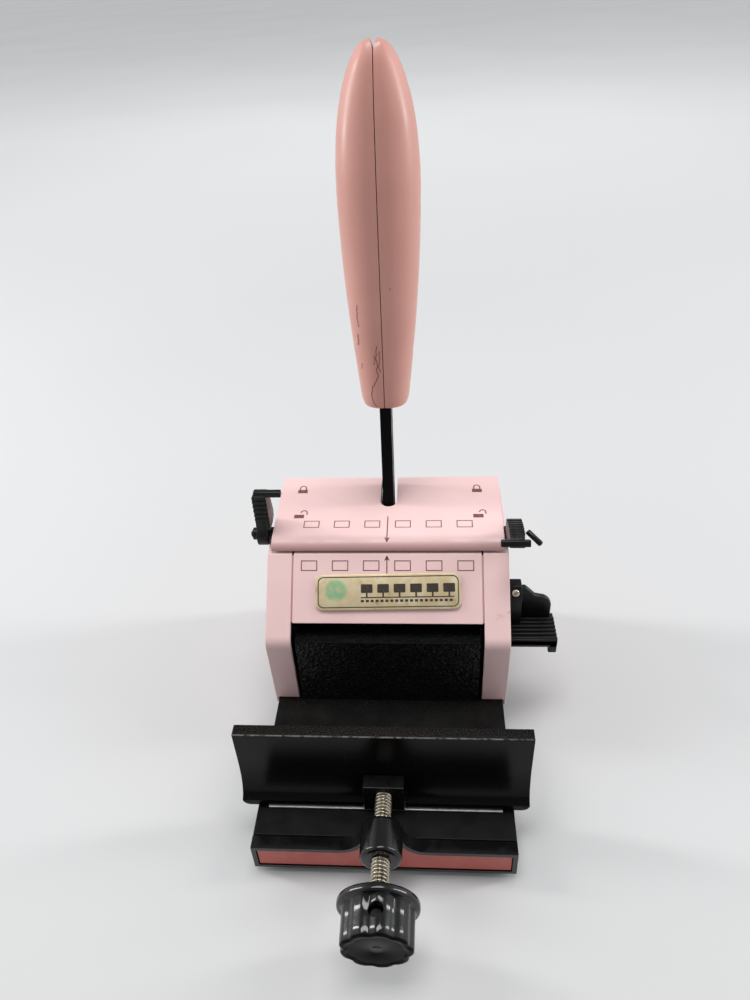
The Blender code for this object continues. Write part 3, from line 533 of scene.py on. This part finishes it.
def merge(first, *others):
    """Join helper shapes into one object."""
    shape = bmesh.new()
    graph = bpy.context.evaluated_depsgraph_get()
    for obj in (first, *others):
        mesh = bpy.data.meshes.new_from_object(obj.evaluated_get(graph))
        mesh.transform(obj.matrix_world)
        shape.from_mesh(mesh)
        bpy.data.meshes.remove(mesh)
    first.modifiers.clear()
    mesh = bpy.data.meshes.new(first.name)
    shape.to_mesh(mesh)
    shape.free()
    first.data = mesh
    first.matrix_world = Matrix.Identity(4)
    for obj in others:
        bpy.data.objects.remove(obj)
    return first


def arc(centre, radius, start, end, steps):
    return [(centre[0] + radius * cos(radians(start + (end - start) * i / steps)),
             centre[1] + radius * sin(radians(start + (end - start) * i / steps)))
            for i in range(steps + 1)]


def soften(node, material, width, segments=3, angle=32.0):
    """Give a CAD piece its material and rounded edges, without changing its mesh."""
    obj = NODES[node]
    obj.data.materials.clear()
    obj.data.materials.append(material)
    if width <= 0:
        return
    weld = obj.modifiers.new("weld", "WELD")
    weld.merge_threshold = 0.000002
    flat = obj.modifiers.new("flatten", "DECIMATE")
    flat.decimate_type = "DISSOLVE"
    flat.angle_limit = radians(1.0)
    bevel(obj, width, segments, angle)
    normals = obj.modifiers.new("normals", "WEIGHTED_NORMAL")
    normals.weight = 100
    normals.keep_sharp = False


def surface_tree(obj):
    graph = bpy.context.evaluated_depsgraph_get()
    return BVHTree.FromObject(obj, graph)


def draped(tree, point, direction, lift):
    """Point dropped on a surface along a direction and lifted off it by a hair."""
    hit, normal = tree.ray_cast(point - direction * 0.03, direction, 0.08)[:2]
    if hit is None:
        return None
    if normal.dot(direction) > 0:
        normal = -normal
    return hit + normal * lift * MM


def printed_strips(name, strips, tree, direction, lift, material, body):
    """Thin marks laid on a surface. A strip is (points along it, width)."""
    shape = bmesh.new()
    for points, width in strips:
        rows = []
        for index, point in enumerate(points):
            before = points[max(0, index - 1)]
            after = points[min(len(points) - 1, index + 1)]
            across = (after - before).cross(direction).normalized() * (width / 2 * MM)
            pair = [draped(tree, point + offset, direction, lift) for offset in (across, -across)]
            if None not in pair:
                rows.append([shape.verts.new(p) for p in pair])
        for first, second in zip(rows, rows[1:]):
            shape.faces.new((first[0], first[1], second[1], second[0]))
    obj = from_bmesh(name, shape)
    return finished(obj, material, body)


def segment(start, end, spacing=0.5):
    """Points along a straight line, close enough to follow a curved surface."""
    count = max(1, ceil((end - start).length / (spacing * MM)))
    return [start.lerp(end, index / count) for index in range(count + 1)]


def ring_line(centre, u, v, half_u, half_v, width):
    """Four strips that outline a rectangle with square corners."""
    spread = width / 2
    strips = []
    for sign in (-1, 1):
        start, end = (centre + (u * turn * (half_u + spread) + v * sign * half_v) * MM for turn in (-1, 1))
        strips.append((segment(start, end), width))
        start, end = (centre + (u * sign * half_u + v * turn * (half_v - spread)) * MM for turn in (-1, 1))
        strips.append((segment(start, end), width))
    return strips


# ------------------------ body shells and plain pieces

def build_groove_lips():
    """Panels' rebates under the front cover, seen at the bottom of the two grooves, in a darker pink that
    paints the grooves' shade.
    """
    into = Vector((0, SLOPE_DIRECTION.z, -SLOPE_DIRECTION.y))
    foot = place(0, 71.9, 57.1)
    top = place(0, 91.2, 76.03)
    for side in (-1, 1):
        shape = bmesh.new()
        for across in (38.24, 38.86):
            for point, depth in ((foot, 0.55), (top, 0.55), (top, 1.4), (foot, 1.4)):
                shape.verts.new(point + Vector((side * across * MM, 0, 0)) + into * depth * MM)
        bmesh.ops.convex_hull(shape, input=list(shape.verts))
        name = "groove_lip_left" if side < 0 else "groove_lip_right"
        finished(from_bmesh(name, shape), GROOVE_SHADE_PINK, "frame")


def pair(name):
    return [name + "_left", name + "_right"]


def dress_cad():
    """Materials and rounded edges of the CAD pieces that are shown as they are."""
    plain = ["punch_guide_plate", "head_die_plate", "paper_stop", "punch_bar", "ram_guide_plate",
             "handle_shaft", "thumb_lever_pin"] + pair("punch_cam") + pair("ram_rod")
    plain += [f"punch_{index + 1}" for index in range(HOLES)]
    looks = (
        # material, bevel width, bevel segments, nodes
        (HOUSING_PINK_NOSE_SHADE, 1.5, 5, ["upper_housing"]),
        (PANEL_PINK, 1.3, 4, pair("side_panel")),
        (PINK, 0.3, 3, ["front_cover", "rear_cover"]),
        (DECK, 0.4, 3, ["base_housing"]),
        (GLOSS_ENAMEL, 0.4, 3, ["front_bracket"]),
        (SALMON, 0.15, 2, ["front_inset"]),
        (CRINKLE, 0.35, 3, ["ram"]),
        (BAR_ENAMEL, 0.35, 3, ["lever_bar"]),
        (ENAMEL, 0.35, 3, ["fence_block"]),
        (SHOE, 0.1, 2, ["fence_shoe"]),
        (ENAMEL, 0.2, 2, pair("side_frame")),
        (RUBBER, 0.5, 3, ["base_pad"]),
        (ENAMEL, 0.3, 2, ["knob_set_screw"]),
        (STEEL, 0.2, 2, ["bottom_cover"]),
        (ZINC, 0.3, 2, ["grip_screw_lower", "grip_screw_upper"] + pair("rod_nut")),
        (BRONZE, 0.2, 2, pair("shaft_bush")),
        (STEEL, 0.15, 2, plain),
        (STEEL, 0.0, 2, pair("punch_spring") + pair("ram_spring")),
    )
    for material, width, segments, nodes in looks:
        for node in nodes:
            soften(node, material, width, segments)


# ------------------------ grips

GRIP_STATIONS = (
    # along the lever, half width, half depth
    (GRIP_FOOT, 8.6, 9.9), (72.0, 9.2, 10.5), (92.0, 11.4, 11.6), (112.0, 13.25, 12.8),
    (134.0, 14.5, 13.6), (154.0, 14.85, 13.8), (168.0, 13.9, 13.0), (179.0, 11.9, 11.5),
    (188.0, 8.9, 9.2), (193.0, 6.0, 6.8), (195.0, 3.9, 4.8), (195.7, 1.9, 2.6),
)


def station_at(along):
    """Grip's half width and half depth at a distance along it, smoothly between stations."""
    rows = GRIP_STATIONS
    index = max(i for i in range(len(rows) - 1) if rows[i][0] <= along or i == 0)
    before, start, end = rows[max(0, index - 1)], rows[index], rows[index + 1]
    after = rows[min(len(rows) - 1, index + 2)]
    t = (along - start[0]) / (end[0] - start[0])
    values = []
    for column in (1, 2):
        run = end[0] - start[0]
        slope_in = (end[column] - before[column]) / max(end[0] - before[0], 1e-6) * run
        slope_out = (after[column] - start[column]) / max(after[0] - start[0], 1e-6) * run
        values.append((2 * t ** 3 - 3 * t ** 2 + 1) * start[column] + (t ** 3 - 2 * t ** 2 + t) * slope_in
                      + (3 * t ** 2 - 2 * t ** 3) * end[column] + (t ** 3 - t ** 2) * slope_out)
    return values


def lever_matrix():
    return Matrix.Translation(place(*PIVOT)) @ Matrix.Rotation(radians(-LEVER_LEAN), 4, "X")


def build_grip(name, side, screws):
    """Moulded half grip with a softened seam that opens into a small notch at the top."""
    frame_matrix = lever_matrix()
    around = 28
    rings = []
    count = 72
    for step in range(count + 1):
        share = step / count
        along = GRIP_FOOT + GRIP_LENGTH * (1 - (1 - share) ** 1.35)
        half_width, half_depth = station_at(along)
        notch = 1.1 * max(0.0, (along - 191.5) / 4.2) ** 1.6
        ring = []
        for index in range(around + 1):
            angle = radians(-90 + 180 * index / around)
            flare = 0.35 * (1 - cos(angle)) ** 6
            x = side * (0.14 + notch + (half_width - notch) * max(0.0, cos(angle)) ** 0.82)
            y = (half_depth - flare) * sin(angle)
            ring.append(frame_matrix @ Vector((x * MM, y * MM, along * MM)))
        rings.append(ring)
    grip = loft(name + "_shell", rings)
    pocket = at_origin(block("pocket", (-2.55, -6.3, 60), (2.55, 6.3, 164.5)))
    pocket.data.transform(frame_matrix)
    carve(grip, pocket)
    if side > 0:
        for along in screws:
            hole = at_origin(rod("hole", 2.1, (-3, 0, along), (20, 0, along), 24))
            hole.data.transform(frame_matrix)
            carve(grip, hole)
    return finished(grip, GRIP_PINK, "handle", [name], 42)


def build_grips():
    boxes = [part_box(node) for node in ("grip_screw_lower", "grip_screw_upper")]
    heights = [(low.z + high.z) / 2 for low, high in boxes]
    lean = cos(radians(LEVER_LEAN))
    screws = [(z / MM - PIVOT[2]) / lean for z in heights]
    left = build_grip("grip_left", -1, screws)
    build_grip("grip_right", 1, screws)
    build_cracks(left)


def build_cracks(grip):
    """Hairline cracks and rubbed marks near the grip's lower end, in front."""
    tree = surface_tree(grip)
    lean = Vector((0, sin(radians(LEVER_LEAN)), cos(radians(LEVER_LEAN))))
    base = place(*PIVOT) + Vector((0, -0.002, 0))

    def line(points, width):
        path = []
        for across, along in points:
            path.append(base + Vector((across * MM, 0, 0)) + lean * along * MM)
        fine = []
        for index, (start, end) in enumerate(zip(path, path[1:])):
            for step in range(6):
                point = start.lerp(end, step / 6)
                shake = sin(index * 2.7 + step * 1.9) * 0.14 + sin(index * 5.1 + step * 3.3) * 0.1
                fine.append(point + Vector((shake * MM, 0, 0)))
        return fine + [path[-1]], width

    strips = [
        line([(-2.2, 98), (-2.6, 93), (-1.9, 90), (-2.7, 88.5), (-1.8, 86), (-2.8, 84), (-4.3, 81),
              (-4.9, 77.5), (-4.2, 74.5), (-3.0, 72.8)], 0.42),
        line([(-1.4, 96), (-1.1, 92.5), (-1.7, 89.5), (-1.0, 87.5)], 0.34),
        line([(-3.4, 94.5), (-3.0, 92), (-3.5, 90.5)], 0.3),
        line([(-8.9, 113), (-9.1, 108), (-8.6, 104.5)], 0.4),
        line([(-9.2, 101.5), (-9.0, 98.5), (-9.3, 97)], 0.5),
        line([(-8.1, 90), (-8.4, 87.5)], 0.3),
    ]
    printed_strips("grip_cracks", strips, tree, Vector((0, 1, 0)), 0.03, CRACK_INK, "handle")


# ------------------------ screw and knob

def build_thread():
    """Adjusting screw with a real thread from end to end."""
    low, high = ((corner.y - FRONT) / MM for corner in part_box("adjusting_screw"))
    around = 32
    per_turn = 10
    steps = int((high - low) / THREAD_PITCH * per_turn)
    rings = []
    for step in range(steps + 1):
        depth = low + (high - low) * step / steps
        fade = min(1.0, (depth - low) / 0.8, (high - depth) / 0.8)
        ring = []
        for index in range(around):
            angle = 2 * pi * index / around
            phase = (depth / THREAD_PITCH - index / around) % 1.0
            wave = abs(2 * phase - 1)
            wave = min(1.0, max(0.0, (wave - 0.12) / 0.74))
            radius = THREAD_ROOT + (THREAD_CREST - THREAD_ROOT) * wave * fade
            ring.append(place(radius * cos(angle), depth, SCREW_Z + radius * sin(angle)))
        rings.append(ring)
    finished(loft("threaded_rod", rings), THREAD, "screw", ["adjusting_screw"], 70)


def build_knob():
    """Fluted knob with a rounded flange, a dished face and a radial screw hole."""
    front, rear = ((corner.y - FRONT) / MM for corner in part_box("adjusting_knob"))
    around = KNOB_LOBES * 20
    profile = [
        # depth, radius, share of the flutes
        (front + 0.5, 0.6, 0), (front + 0.5, 1.6, 0), (front + 0.3, 2.0, 0), (front + 0.3, 8.8, 0.3),
        (front + 0.25, 9.6, 0.7), (front + 0.02, 10.1, 0.9), (front + 0.02, 10.9, 1), (front + 0.25, 11.5, 1),
        (front + 0.7, 11.8, 1),
        (front + 3.0, 11.9, 1), (front + 7.0, 11.95, 1), (rear - 3.3, 12.0, 1), (rear - 2.9, 12.3, 0.75),
        (rear - 2.65, 12.9, 0.15), (rear - 2.55, 13.2, 0), (rear - 2.3, 13.55, 0), (rear - 1.8, 13.7, 0),
        (rear - 0.6, 13.7, 0), (rear - 0.15, 13.5, 0), (rear, 13.0, 0), (rear, 6.0, 0), (rear, 3.45, 0),
        (rear - 2.0, 3.4, 0),
    ]
    rings = []
    for depth, radius, share in profile:
        ring = []
        for index in range(around):
            angle = 2 * pi * index / around + pi / 2
            wave = (1 - cos(KNOB_LOBES * angle)) / 2
            r = radius - share * 0.85 * wave ** 2
            ring.append(place(r * cos(angle), depth, SCREW_Z + r * sin(angle)))
        rings.append(ring)
    knob = loft("knob_body", rings)
    low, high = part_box("knob_set_screw")
    hole_depth = ((low.y + high.y) / 2 - FRONT) / MM
    carve(knob, rod("hole", 2.45, (0, hole_depth, SCREW_Z + 2), (0, hole_depth, SCREW_Z + 20), 40))
    finished(knob, KNOB_BLACK, "screw", ["adjusting_knob"], 50)


# ------------------------ fence

def fence_sweep(height, forward, drop):
    """How far one of the fence's faces has come forward at a height, over a drop below the bend."""
    share = min(1.0, max(0.0, FENCE_BEND_Z - height) / drop)
    return forward * (1 - sqrt(1 - share ** 2))


def build_fence():
    """Swept fence with rounded lower corners, seated over the screw's block."""
    low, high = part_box("fence")
    half = high.x / MM
    top = high.z / MM
    bottom = low.z / MM
    corner = 3.0
    across = [half - corner * (1 - cos(radians(90 * i / 8))) for i in range(9)]
    slices = sorted([-x for x in across] + across)
    steps = 30
    rings = []
    for x in slices:
        inset = max(0.0, abs(x) - (half - corner))
        low_z = bottom + corner - sqrt(max(0.0, corner ** 2 - inset ** 2))
        heights = [low_z + (top - low_z) * (i / steps) ** 1.25 for i in range(steps + 1)]
        ring = [place(x, FENCE_FRONT - fence_sweep(z, 4.7, 16.0), z) for z in heights]
        ring += [place(x, FENCE_BACK - fence_sweep(z, 4.0, 18.9), z) for z in reversed(heights)]
        rings.append(ring)
    fence = loft("fence_plate", rings)
    seat = block("seat", (-7.8, 8, 14), (7.8, FENCE_FRONT, 31.3))
    carve(fence, seat)
    bevel(fence, 0.45, 3, 50)
    finished(fence, WORN, "fence_carriage", ["fence"], 32)


# ------------------------ side levers

def lever_neck(low):
    """Side lever above its hub: straight ridged front, and a ridged back that slopes to the tip."""
    slope = [(6.7, 8.6), (5.75, 12.9), (4.5, 16.2), (3.0, 19.3), (1.3, 21.7)]
    back = [(6.3, 4.9), (6.8, 7.0), (6.75, 8.4)]
    for start, end in zip(slope, slope[1:]):
        for share in (0.0, 0.5):
            y = start[0] + (end[0] - start[0]) * share
            z = start[1] + (end[1] - start[1]) * share
            back += [(y, z), (y - 0.1, z + 0.85), (y - 0.75, z + 0.9)]
    front = []
    for index in range(6):
        height = 8.4 + index * 2.2
        front += [(-2.3, height), (-2.75, height + 0.1), (-2.75, height + 1.3), (-2.3, height + 1.4)]
    tip = [(0.6, 22.3), (-1.8, 22.3), (-2.3, 21.8)]
    return [(-2.9, low), (2.9, low)] + back + tip + list(reversed(front))


def lever_part(name, outline, side, inner, outer, width=0.35):
    return bevel(prism(name, outline, "X", *sorted((side * inner, side * outer))), width, 3, 40)


def build_side_lever(side, tilt, node, body, finger_inner, finger_outer):
    """Side lever drawn upright around its hub, then tilted: plate, neck, finger and boss."""
    inner, outer = LEVER_PLATE
    hub = arc((0, 0), HUB_RADIUS, 128, 412, 30)
    plate = at_origin(lever_part("plate", hub + lever_neck(3.6)[2:], side, inner, outer))
    corner = arc((outer - 3.0, 19.25), 3.0, 0, 90, 8)
    outline = [(40, -8), (outer + 0.02, -8)] + corner + [(40, 22.2)]
    rounding = at_origin(prism("rounding", [(side * x, z) for x, z in outline], "Y", -10, 10))
    carve(plate, rounding, "INTERSECT")
    neck = at_origin(lever_part("neck", lever_neck(3.8), side, 47.9, inner + 0.4))
    bar = [(-2.2, 20.3), (-1.8, 19.8), (0.2, 19.8), (0.6, 20.3),
           (0.6, 22.0), (0.1, 22.5), (-1.7, 22.5), (-2.2, 22.0)]
    finger = at_origin(lever_part("finger", bar, side, finger_inner, finger_outer, 0.3))
    ends = sorted((side * 47.7, side * (inner + 1)))
    boss = at_origin(prism("boss", arc((0, 0), 2.8, 0, 346, 24), "X", *ends))
    lever = merge(plate, neck, finger, boss)
    lever.name = node + "_moulding"
    lever.data.transform(Matrix.Rotation(radians(tilt), 4, "X"))
    lever.data.transform(Matrix.Translation(place(0, *HUB)))
    finished(lever, LEVER_BLACK, body, [node], 38)


def build_lever_pin(side, node, body):
    """Stepped pin: a washer and a rounded end outside the lever."""
    low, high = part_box(node)
    tip = max(abs(low.x), abs(high.x)) / MM
    profile = [(45.95, 1.3), (54.1, 1.3), (54.1, 2.4), (54.25, 2.6), (tip - 1.1, 2.6), (tip - 0.9, 2.4),
               (tip - 0.9, 1.35), (tip - 0.25, 1.3), (tip, 0.9)]
    turns = [2 * pi * i / 32 for i in range(32)]
    rings = []
    for across, radius in profile:
        rings.append([place(side * across, HUB[0] + radius * cos(turn), HUB[1] + radius * sin(turn))
                      for turn in turns])
    finished(loft(node + "_stepped", rings), LEVER_BLACK, body, [node], 40)


def build_lever_rod():
    """Bent end of the right lever's shaft, with a rounded tip."""
    start, end = place(57.0, HUB[0] - 0.2, HUB[1] + 0.9), place(62.4, HUB[0] - 5, HUB[1] - 2.2)
    along = (end - start).normalized()
    length = (end - start).length / MM
    turn = along.to_track_quat("Z", "Y").to_matrix()
    profile = [(0, 0.75), (0.12, 1.05), (0.4, 1.2), (length - 0.7, 1.2), (length - 0.35, 1.08),
               (length - 0.1, 0.8), (length, 0.35)]
    rings = []
    for distance, radius in profile:
        rings.append([start + along * distance * MM + turn @ point for point in circle(radius, 24)])
    finished(loft("right_lever_rod_tip", rings), LEVER_BLACK, "right_side_lever",
             ["right_lever_rod"], 50)


def build_thumb_lever():
    """Ribbed thumb lever: serrated shelf, wing behind it, rounded fin beside the body."""
    low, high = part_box("thumb_lever")
    inner, outer = low.x / MM, high.x / MM
    front, top = 74.8, 44.0
    shelf = [(91.0, 41.5), (91.0, top)]
    for index in range(6):
        depth = 88.0 - index * 2.2
        shelf += [(depth, top), (depth - 0.35, top + 1), (depth - 1.35, top + 1), (depth - 1.7, top)]
    shelf += [(front, top + 0.1), (front, 41.5)]
    wing = [(inner, 42.0), (67.5, 42.0), (67.5, 50.5)] + arc((62.3, 50.8), 5.2, 0, 72, 10)
    wing += [(60.5, 56.6), (58.2, 59.2), (56.4, 61.0), (inner, 61.0)]
    fin = [(84.0, 43.0), (83.8, 53.0), (84.4, 57.0), (85.6, 60.2), (87.5, 62.5), (92.0, 62.5),
           (97.0, 57.0), (97.0, 43.0)]
    tab = [(front, 37.2), (76.9, 37.2), (77.3, 43.0), (front, 43.0)]
    lip = [(front, 40.4), (76.4, 40.4), (76.4, 44.6), (front, 44.6)]
    fin_part = bevel(prism("fin", fin, "X", inner, inner + 5.2), 0.4, 3, 40)
    pieces = [
        bevel(prism("shelf", shelf, "X", inner, outer), 0.18, 2, 30),
        bevel(prism("wing", wing, "Y", 88.0, 90.6), 0.6, 3, 40),
        carve(fin_part, rod("bore", 1.9, (inner - 2, 93.0, 50.0), (inner + 9, 93.0, 50.0), 24)),
        bevel(prism("tab", tab, "X", 65.6, outer), 0.4, 3, 40),
        bevel(prism("lip", lip, "X", inner + 0.4, outer), 0.3, 3, 40),
    ]
    lever = merge(*pieces)
    lever.name = "thumb_lever_moulding"
    finished(lever, LEVER_BLACK, "thumb", ["thumb_lever"], 38)


def build_thumb_screw():
    """Small slotted silver screw on the thumb lever's fin."""
    low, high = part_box("thumb_lever_screw")
    centre = (low + high) / 2
    centre = (centre.x / MM, (centre.y - FRONT) / MM, centre.z / MM)
    axis = Vector((0, -0.86, 0.51)).normalized()
    turn = axis.to_track_quat("Z", "Y").to_matrix()
    around = 28
    angles = [2 * pi * i / around for i in range(around)]
    profile = ((-0.7, 1.45), (0.0, 1.55), (0.35, 1.45), (0.6, 1.1), (0.72, 0.6), (0.75, 0.15))
    rings = []
    for rise, radius in profile:
        ring = [Vector((radius * cos(angle), radius * sin(angle), rise)) * MM for angle in angles]
        rings.append([place(*centre) + turn @ point for point in ring])
    head = loft("thumb_screw_head", rings)
    slot = at_origin(block("slot", (-2, -0.22, 0.35), (2, 0.22, 2)))
    slot_turn = Matrix.Rotation(radians(25), 4, "Z")
    slot.data.transform(Matrix.Translation(place(*centre)) @ turn.to_4x4() @ slot_turn)
    carve(head, slot)
    finished(head, ZINC, "thumb", ["thumb_lever_screw"], 40)


# ------------------------ plaque and printed marks

def rounded_box(half_u, half_v, corner, steps=8):
    points = []
    for su, sv, start in ((1, 1, 0), (-1, 1, 90), (-1, -1, 180), (1, -1, 270)):
        points += arc((su * (half_u - corner), sv * (half_v - corner)), corner, start, start + 90, steps)
    return points


def plaque_frame():
    """Plaque's centre, its two in-plane directions and its normal, from the CAD plaque."""
    low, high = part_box("label_plaque")
    centre = (low + high) / 2
    turn = radians(1.0)
    normal = Vector((0, -SLOPE_DIRECTION.z, SLOPE_DIRECTION.y))
    across = Vector((cos(turn), 0, 0)) + SLOPE_DIRECTION * sin(turn)
    up = SLOPE_DIRECTION * cos(turn) - Vector((sin(turn), 0, 0))
    return centre, across, up, normal


def flat_points(shape, outline, plane):
    """Vertices of an outline on a plane given by its centre, two directions and its lift."""
    centre, u, v, lift = plane
    return [shape.verts.new(centre + (u * a + v * b) * MM + lift) for a, b in outline]


def flat_shape(shape, outline, plane):
    shape.faces.new(flat_points(shape, outline, plane))


def flat_box(shape, left, right, top, bottom, plane):
    flat_shape(shape, [(left, top), (right, top), (right, bottom), (left, bottom)], plane)


def band(shape, outer, inner, plane):
    """Flat frame between two outlines with the same number of points."""
    rows = [flat_points(shape, outline, plane) for outline in (outer, inner)]
    count = len(outer)
    for index in range(count):
        after = (index + 1) % count
        shape.faces.new((rows[0][index], rows[0][after], rows[1][after], rows[1][index]))


def build_plaque():
    """Rounded plaque with a border line and a generic pattern of squares, stems and dashes."""
    centre, across, up, normal = plaque_frame()
    half_u, half_v = 29.3, 7.2
    rings = []
    for inset, lift in ((0.0, -0.4), (0.0, 0.15), (0.12, 0.32), (0.35, 0.4)):
        outline = rounded_box(half_u - inset, half_v - inset, 3.0 - inset)
        rings.append([centre + (across * a + up * b + normal * lift) * MM for a, b in outline])
    finished(loft("plaque_plate", rings), PLAQUE, "frame", ["label_plaque"], 30)

    shape = bmesh.new()
    plane = (centre, across, up, normal * PLAQUE_PRINT_LIFT * MM)
    band(shape, rounded_box(28.35, 6.25, 2.4), rounded_box(27.95, 5.85, 2.0), plane)
    left, right = -10.9, 26.4
    for index in range(6):
        middle = left + 2.4 + index * 6.6
        flat_shape(shape, [(middle - a, b + 1.35) for a, b in rounded_box(2.35, 1.75, 0.35, 3)], plane)
        flat_box(shape, middle - 0.35, middle + 0.35, -0.4, -2.0, plane)
    flat_box(shape, left, right, -2.0, -2.45, plane)
    for index in range(19):
        start = left + index * 1.97
        flat_box(shape, start, start + 1.25, -3.1, -4.1, plane)
    finished(from_bmesh("plaque_pattern", shape), PLAQUE_INK, "frame")


def padlock(centre, u, v, is_open):
    """Strips of a small padlock pictogram."""
    body = [(segment(centre + (-u * 2.1 - v * 1.2) * MM, centre + (u * 2.1 - v * 1.2) * MM), 2.1)]
    shackle = []
    shift = 1.9 if is_open else 0.0
    for index in range(13):
        angle = radians(180 * index / 12)
        shackle.append(centre + (u * (cos(angle) * 1.3 + shift) + v * (1.0 + sin(angle) * 1.3)) * MM)
    legs = [centre + (u * (shift + 1.3) - v * 0.1) * MM]
    if not is_open:
        shackle.append(centre + (-u * 1.3 - v * 0.1) * MM)
    return body + [(legs + shackle, 0.5)]


def arrow(tip, back, u, shaft, barb, stroke, spacing):
    """Strips of an arrow: a shaft behind its tip, and two strokes on each side of its head."""
    near, far = shaft
    strips = [(segment(tip + back * far * MM, tip + back * near * MM, spacing), ARROW_WIDTH)]
    for side in (-1, 1):
        for (reach, spread), end, width in ((barb, 0.0, 0.34), (stroke, 0.2, 0.5)):
            start = tip + (back * reach + u * side * spread) * MM
            strips.append((segment(start, tip + back * end * MM, 0.3), width))
    return strips


def build_housing_marks():
    """Punch positions, an arrow and two pairs of padlock pictograms on the upper housing."""
    u, v = Vector((1, 0, 0)), Vector((0, 1, 0))
    strips = arrow(place(0, 94.2, 82), v, u, (0.7, 14.2), (2.0, 0.95), (1.7, 0.5), 0.4)
    for index in range(HOLES):
        centre = place((index - 2.5) * HOLE_PITCH, 103.9, 82)
        strips += ring_line(centre, u, v, 3.1, 1.85, OUTLINE_WIDTH)
    for side in (-1, 1):
        strips += padlock(place(side * 37.8, 125.4, 82), u, v, False)
        strips += padlock(place(side * 37.6, 109.8, 82), u, v, True)
    down = Vector((0, 0, -1))
    tree = surface_tree(NODES["upper_housing"])
    printed_strips("housing_marks", strips, tree, down, PRINT_LIFT, INK, "frame")


def build_cover_marks():
    """Punch positions and an arrow on the sloping front cover."""
    u, v = Vector((1, 0, 0)), SLOPE_DIRECTION
    strips = arrow(place(0, 91.0, 75.8), -v, u, (0.4, 8.6), (1.9, 0.9), (1.6, 0.45), 0.5)
    for index in range(HOLES):
        centre = place((index - 2.5) * HOLE_PITCH, 88.3, 72.9)
        strips += ring_line(centre, u, v, 3.15, 1.95, OUTLINE_WIDTH)
    into = Vector((0, v.z, -v.y))
    tree = surface_tree(NODES["front_cover"])
    printed_strips("cover_marks", strips, tree, into, PRINT_LIFT, INK, "frame")


# ------------------------ studio

def build_floor():
    shape = bmesh.new()
    bmesh.ops.create_grid(shape, x_segments=1, y_segments=1, size=14.0)
    floor = from_bmesh("floor", shape)
    # painted light and shade: the floor is darker in front of and near the machine and brighter towards the
    # back, standing in for how the light falls
    material = new_material("floor_painted_light_and_shade_look", (0.70, 0.705, 0.71), 0.85, 0.0, 0.2)
    depth = axis_value(material, "Y")
    near = window(material, depth, -0.30, 0.0)
    tint = blend_colour(material, near, (0.50, 0.494, 0.484), (0.56, 0.562, 0.565))
    tint = blend_colour(material, window(material, depth, 0.35, 1.6), tint, (0.95, 0.955, 0.96))
    cloud = window(material, noise(material, 2.2, 2.0), 0.3, 0.7, 0.0, 0.12)
    set_colour(material, blend_colour(material, cloud, tint, (0.70, 0.70, 0.70)))
    floor.data.materials.append(material)


def softbox(name, location, target, size, power):
    data = bpy.data.lights.new(name, "AREA")
    data.shape = "RECTANGLE"
    data.size, data.size_y = size
    data.energy = power
    light = bpy.data.objects.new(name, data)
    light.location = location
    light.rotation_euler = (Vector(target) - Vector(location)).to_track_quat("-Z", "Y").to_euler()
    bpy.context.scene.collection.objects.link(light)


def build_lights():
    softbox("key", (-0.05, 0.1, 2.2), (0, 0, 0.08), (1.3, 0.7), 25.5)
    softbox("left", (-1.0, 0.2, 0.6), (0, 0, 0.1), (0.14, 0.8), 6.0)
    softbox("right", (1.0, 0.2, 0.6), (0, 0, 0.1), (0.14, 0.8), 5.0)
    world = bpy.data.worlds.new("studio")
    world.use_nodes = True
    background = world.node_tree.nodes["Background"]
    background.inputs["Color"].default_value = (0.96, 0.98, 1.0, 1.0)
    direction = world.node_tree.nodes.new("ShaderNodeTexCoord")
    split = world.node_tree.nodes.new("ShaderNodeSeparateXYZ")
    world.node_tree.links.new(direction.outputs["Generated"], split.inputs["Vector"])
    towards_back = window(world, split.outputs["Y"], -0.9, 0.3, 0.7, 1.15, "LINEAR")
    sideways = maths(world, "ABSOLUTE", split.outputs["X"], 0.0)
    towards_sides = window(world, sideways, 0.35, 0.75, 0.3, 1.0, "LINEAR")
    strength = product(world, towards_back, towards_sides)
    world.node_tree.links.new(strength, background.inputs["Strength"])
    bpy.context.scene.world = world
    bpy.context.scene.view_settings.view_transform = "Standard"


def build_camera():
    yaw, pitch, roll = radians(-5.066), radians(36.26), radians(-3.36)
    forward = Vector((sin(yaw) * cos(pitch), cos(yaw) * cos(pitch), -sin(pitch)))
    level = Vector((cos(yaw), -sin(yaw), 0))
    upright = level.cross(forward)
    right = level * cos(roll) + upright * sin(roll)
    up = -level * sin(roll) + upright * cos(roll)
    data = bpy.data.cameras.new("camera")
    data.lens = 27.036
    data.sensor_width = 36.0
    camera = bpy.data.objects.new("camera", data)
    camera.matrix_world = (Matrix.Translation((0.01702, -0.21036, 0.27436))
                           @ Matrix((right, up, -forward)).transposed().to_4x4())
    bpy.context.scene.collection.objects.link(camera)
    bpy.context.scene.camera = camera


def main():
    build_camera()
    build_floor()
    build_lights()
    dress_cad()
    build_groove_lips()
    build_grips()
    build_thread()
    build_knob()
    build_fence()
    build_side_lever(-1, 0.0, "left_lever", "left_side_lever", 41.9, 52.9)
    build_side_lever(1, 60.0, "right_lever", "right_side_lever", 44.4, 55.7)
    build_lever_pin(-1, "left_lever_pin", "left_side_lever")
    build_lever_pin(1, "right_lever_pin", "right_side_lever")
    build_lever_rod()
    build_thumb_lever()
    build_thumb_screw()
    build_plaque()
    build_housing_marks()
    build_cover_marks()


main()
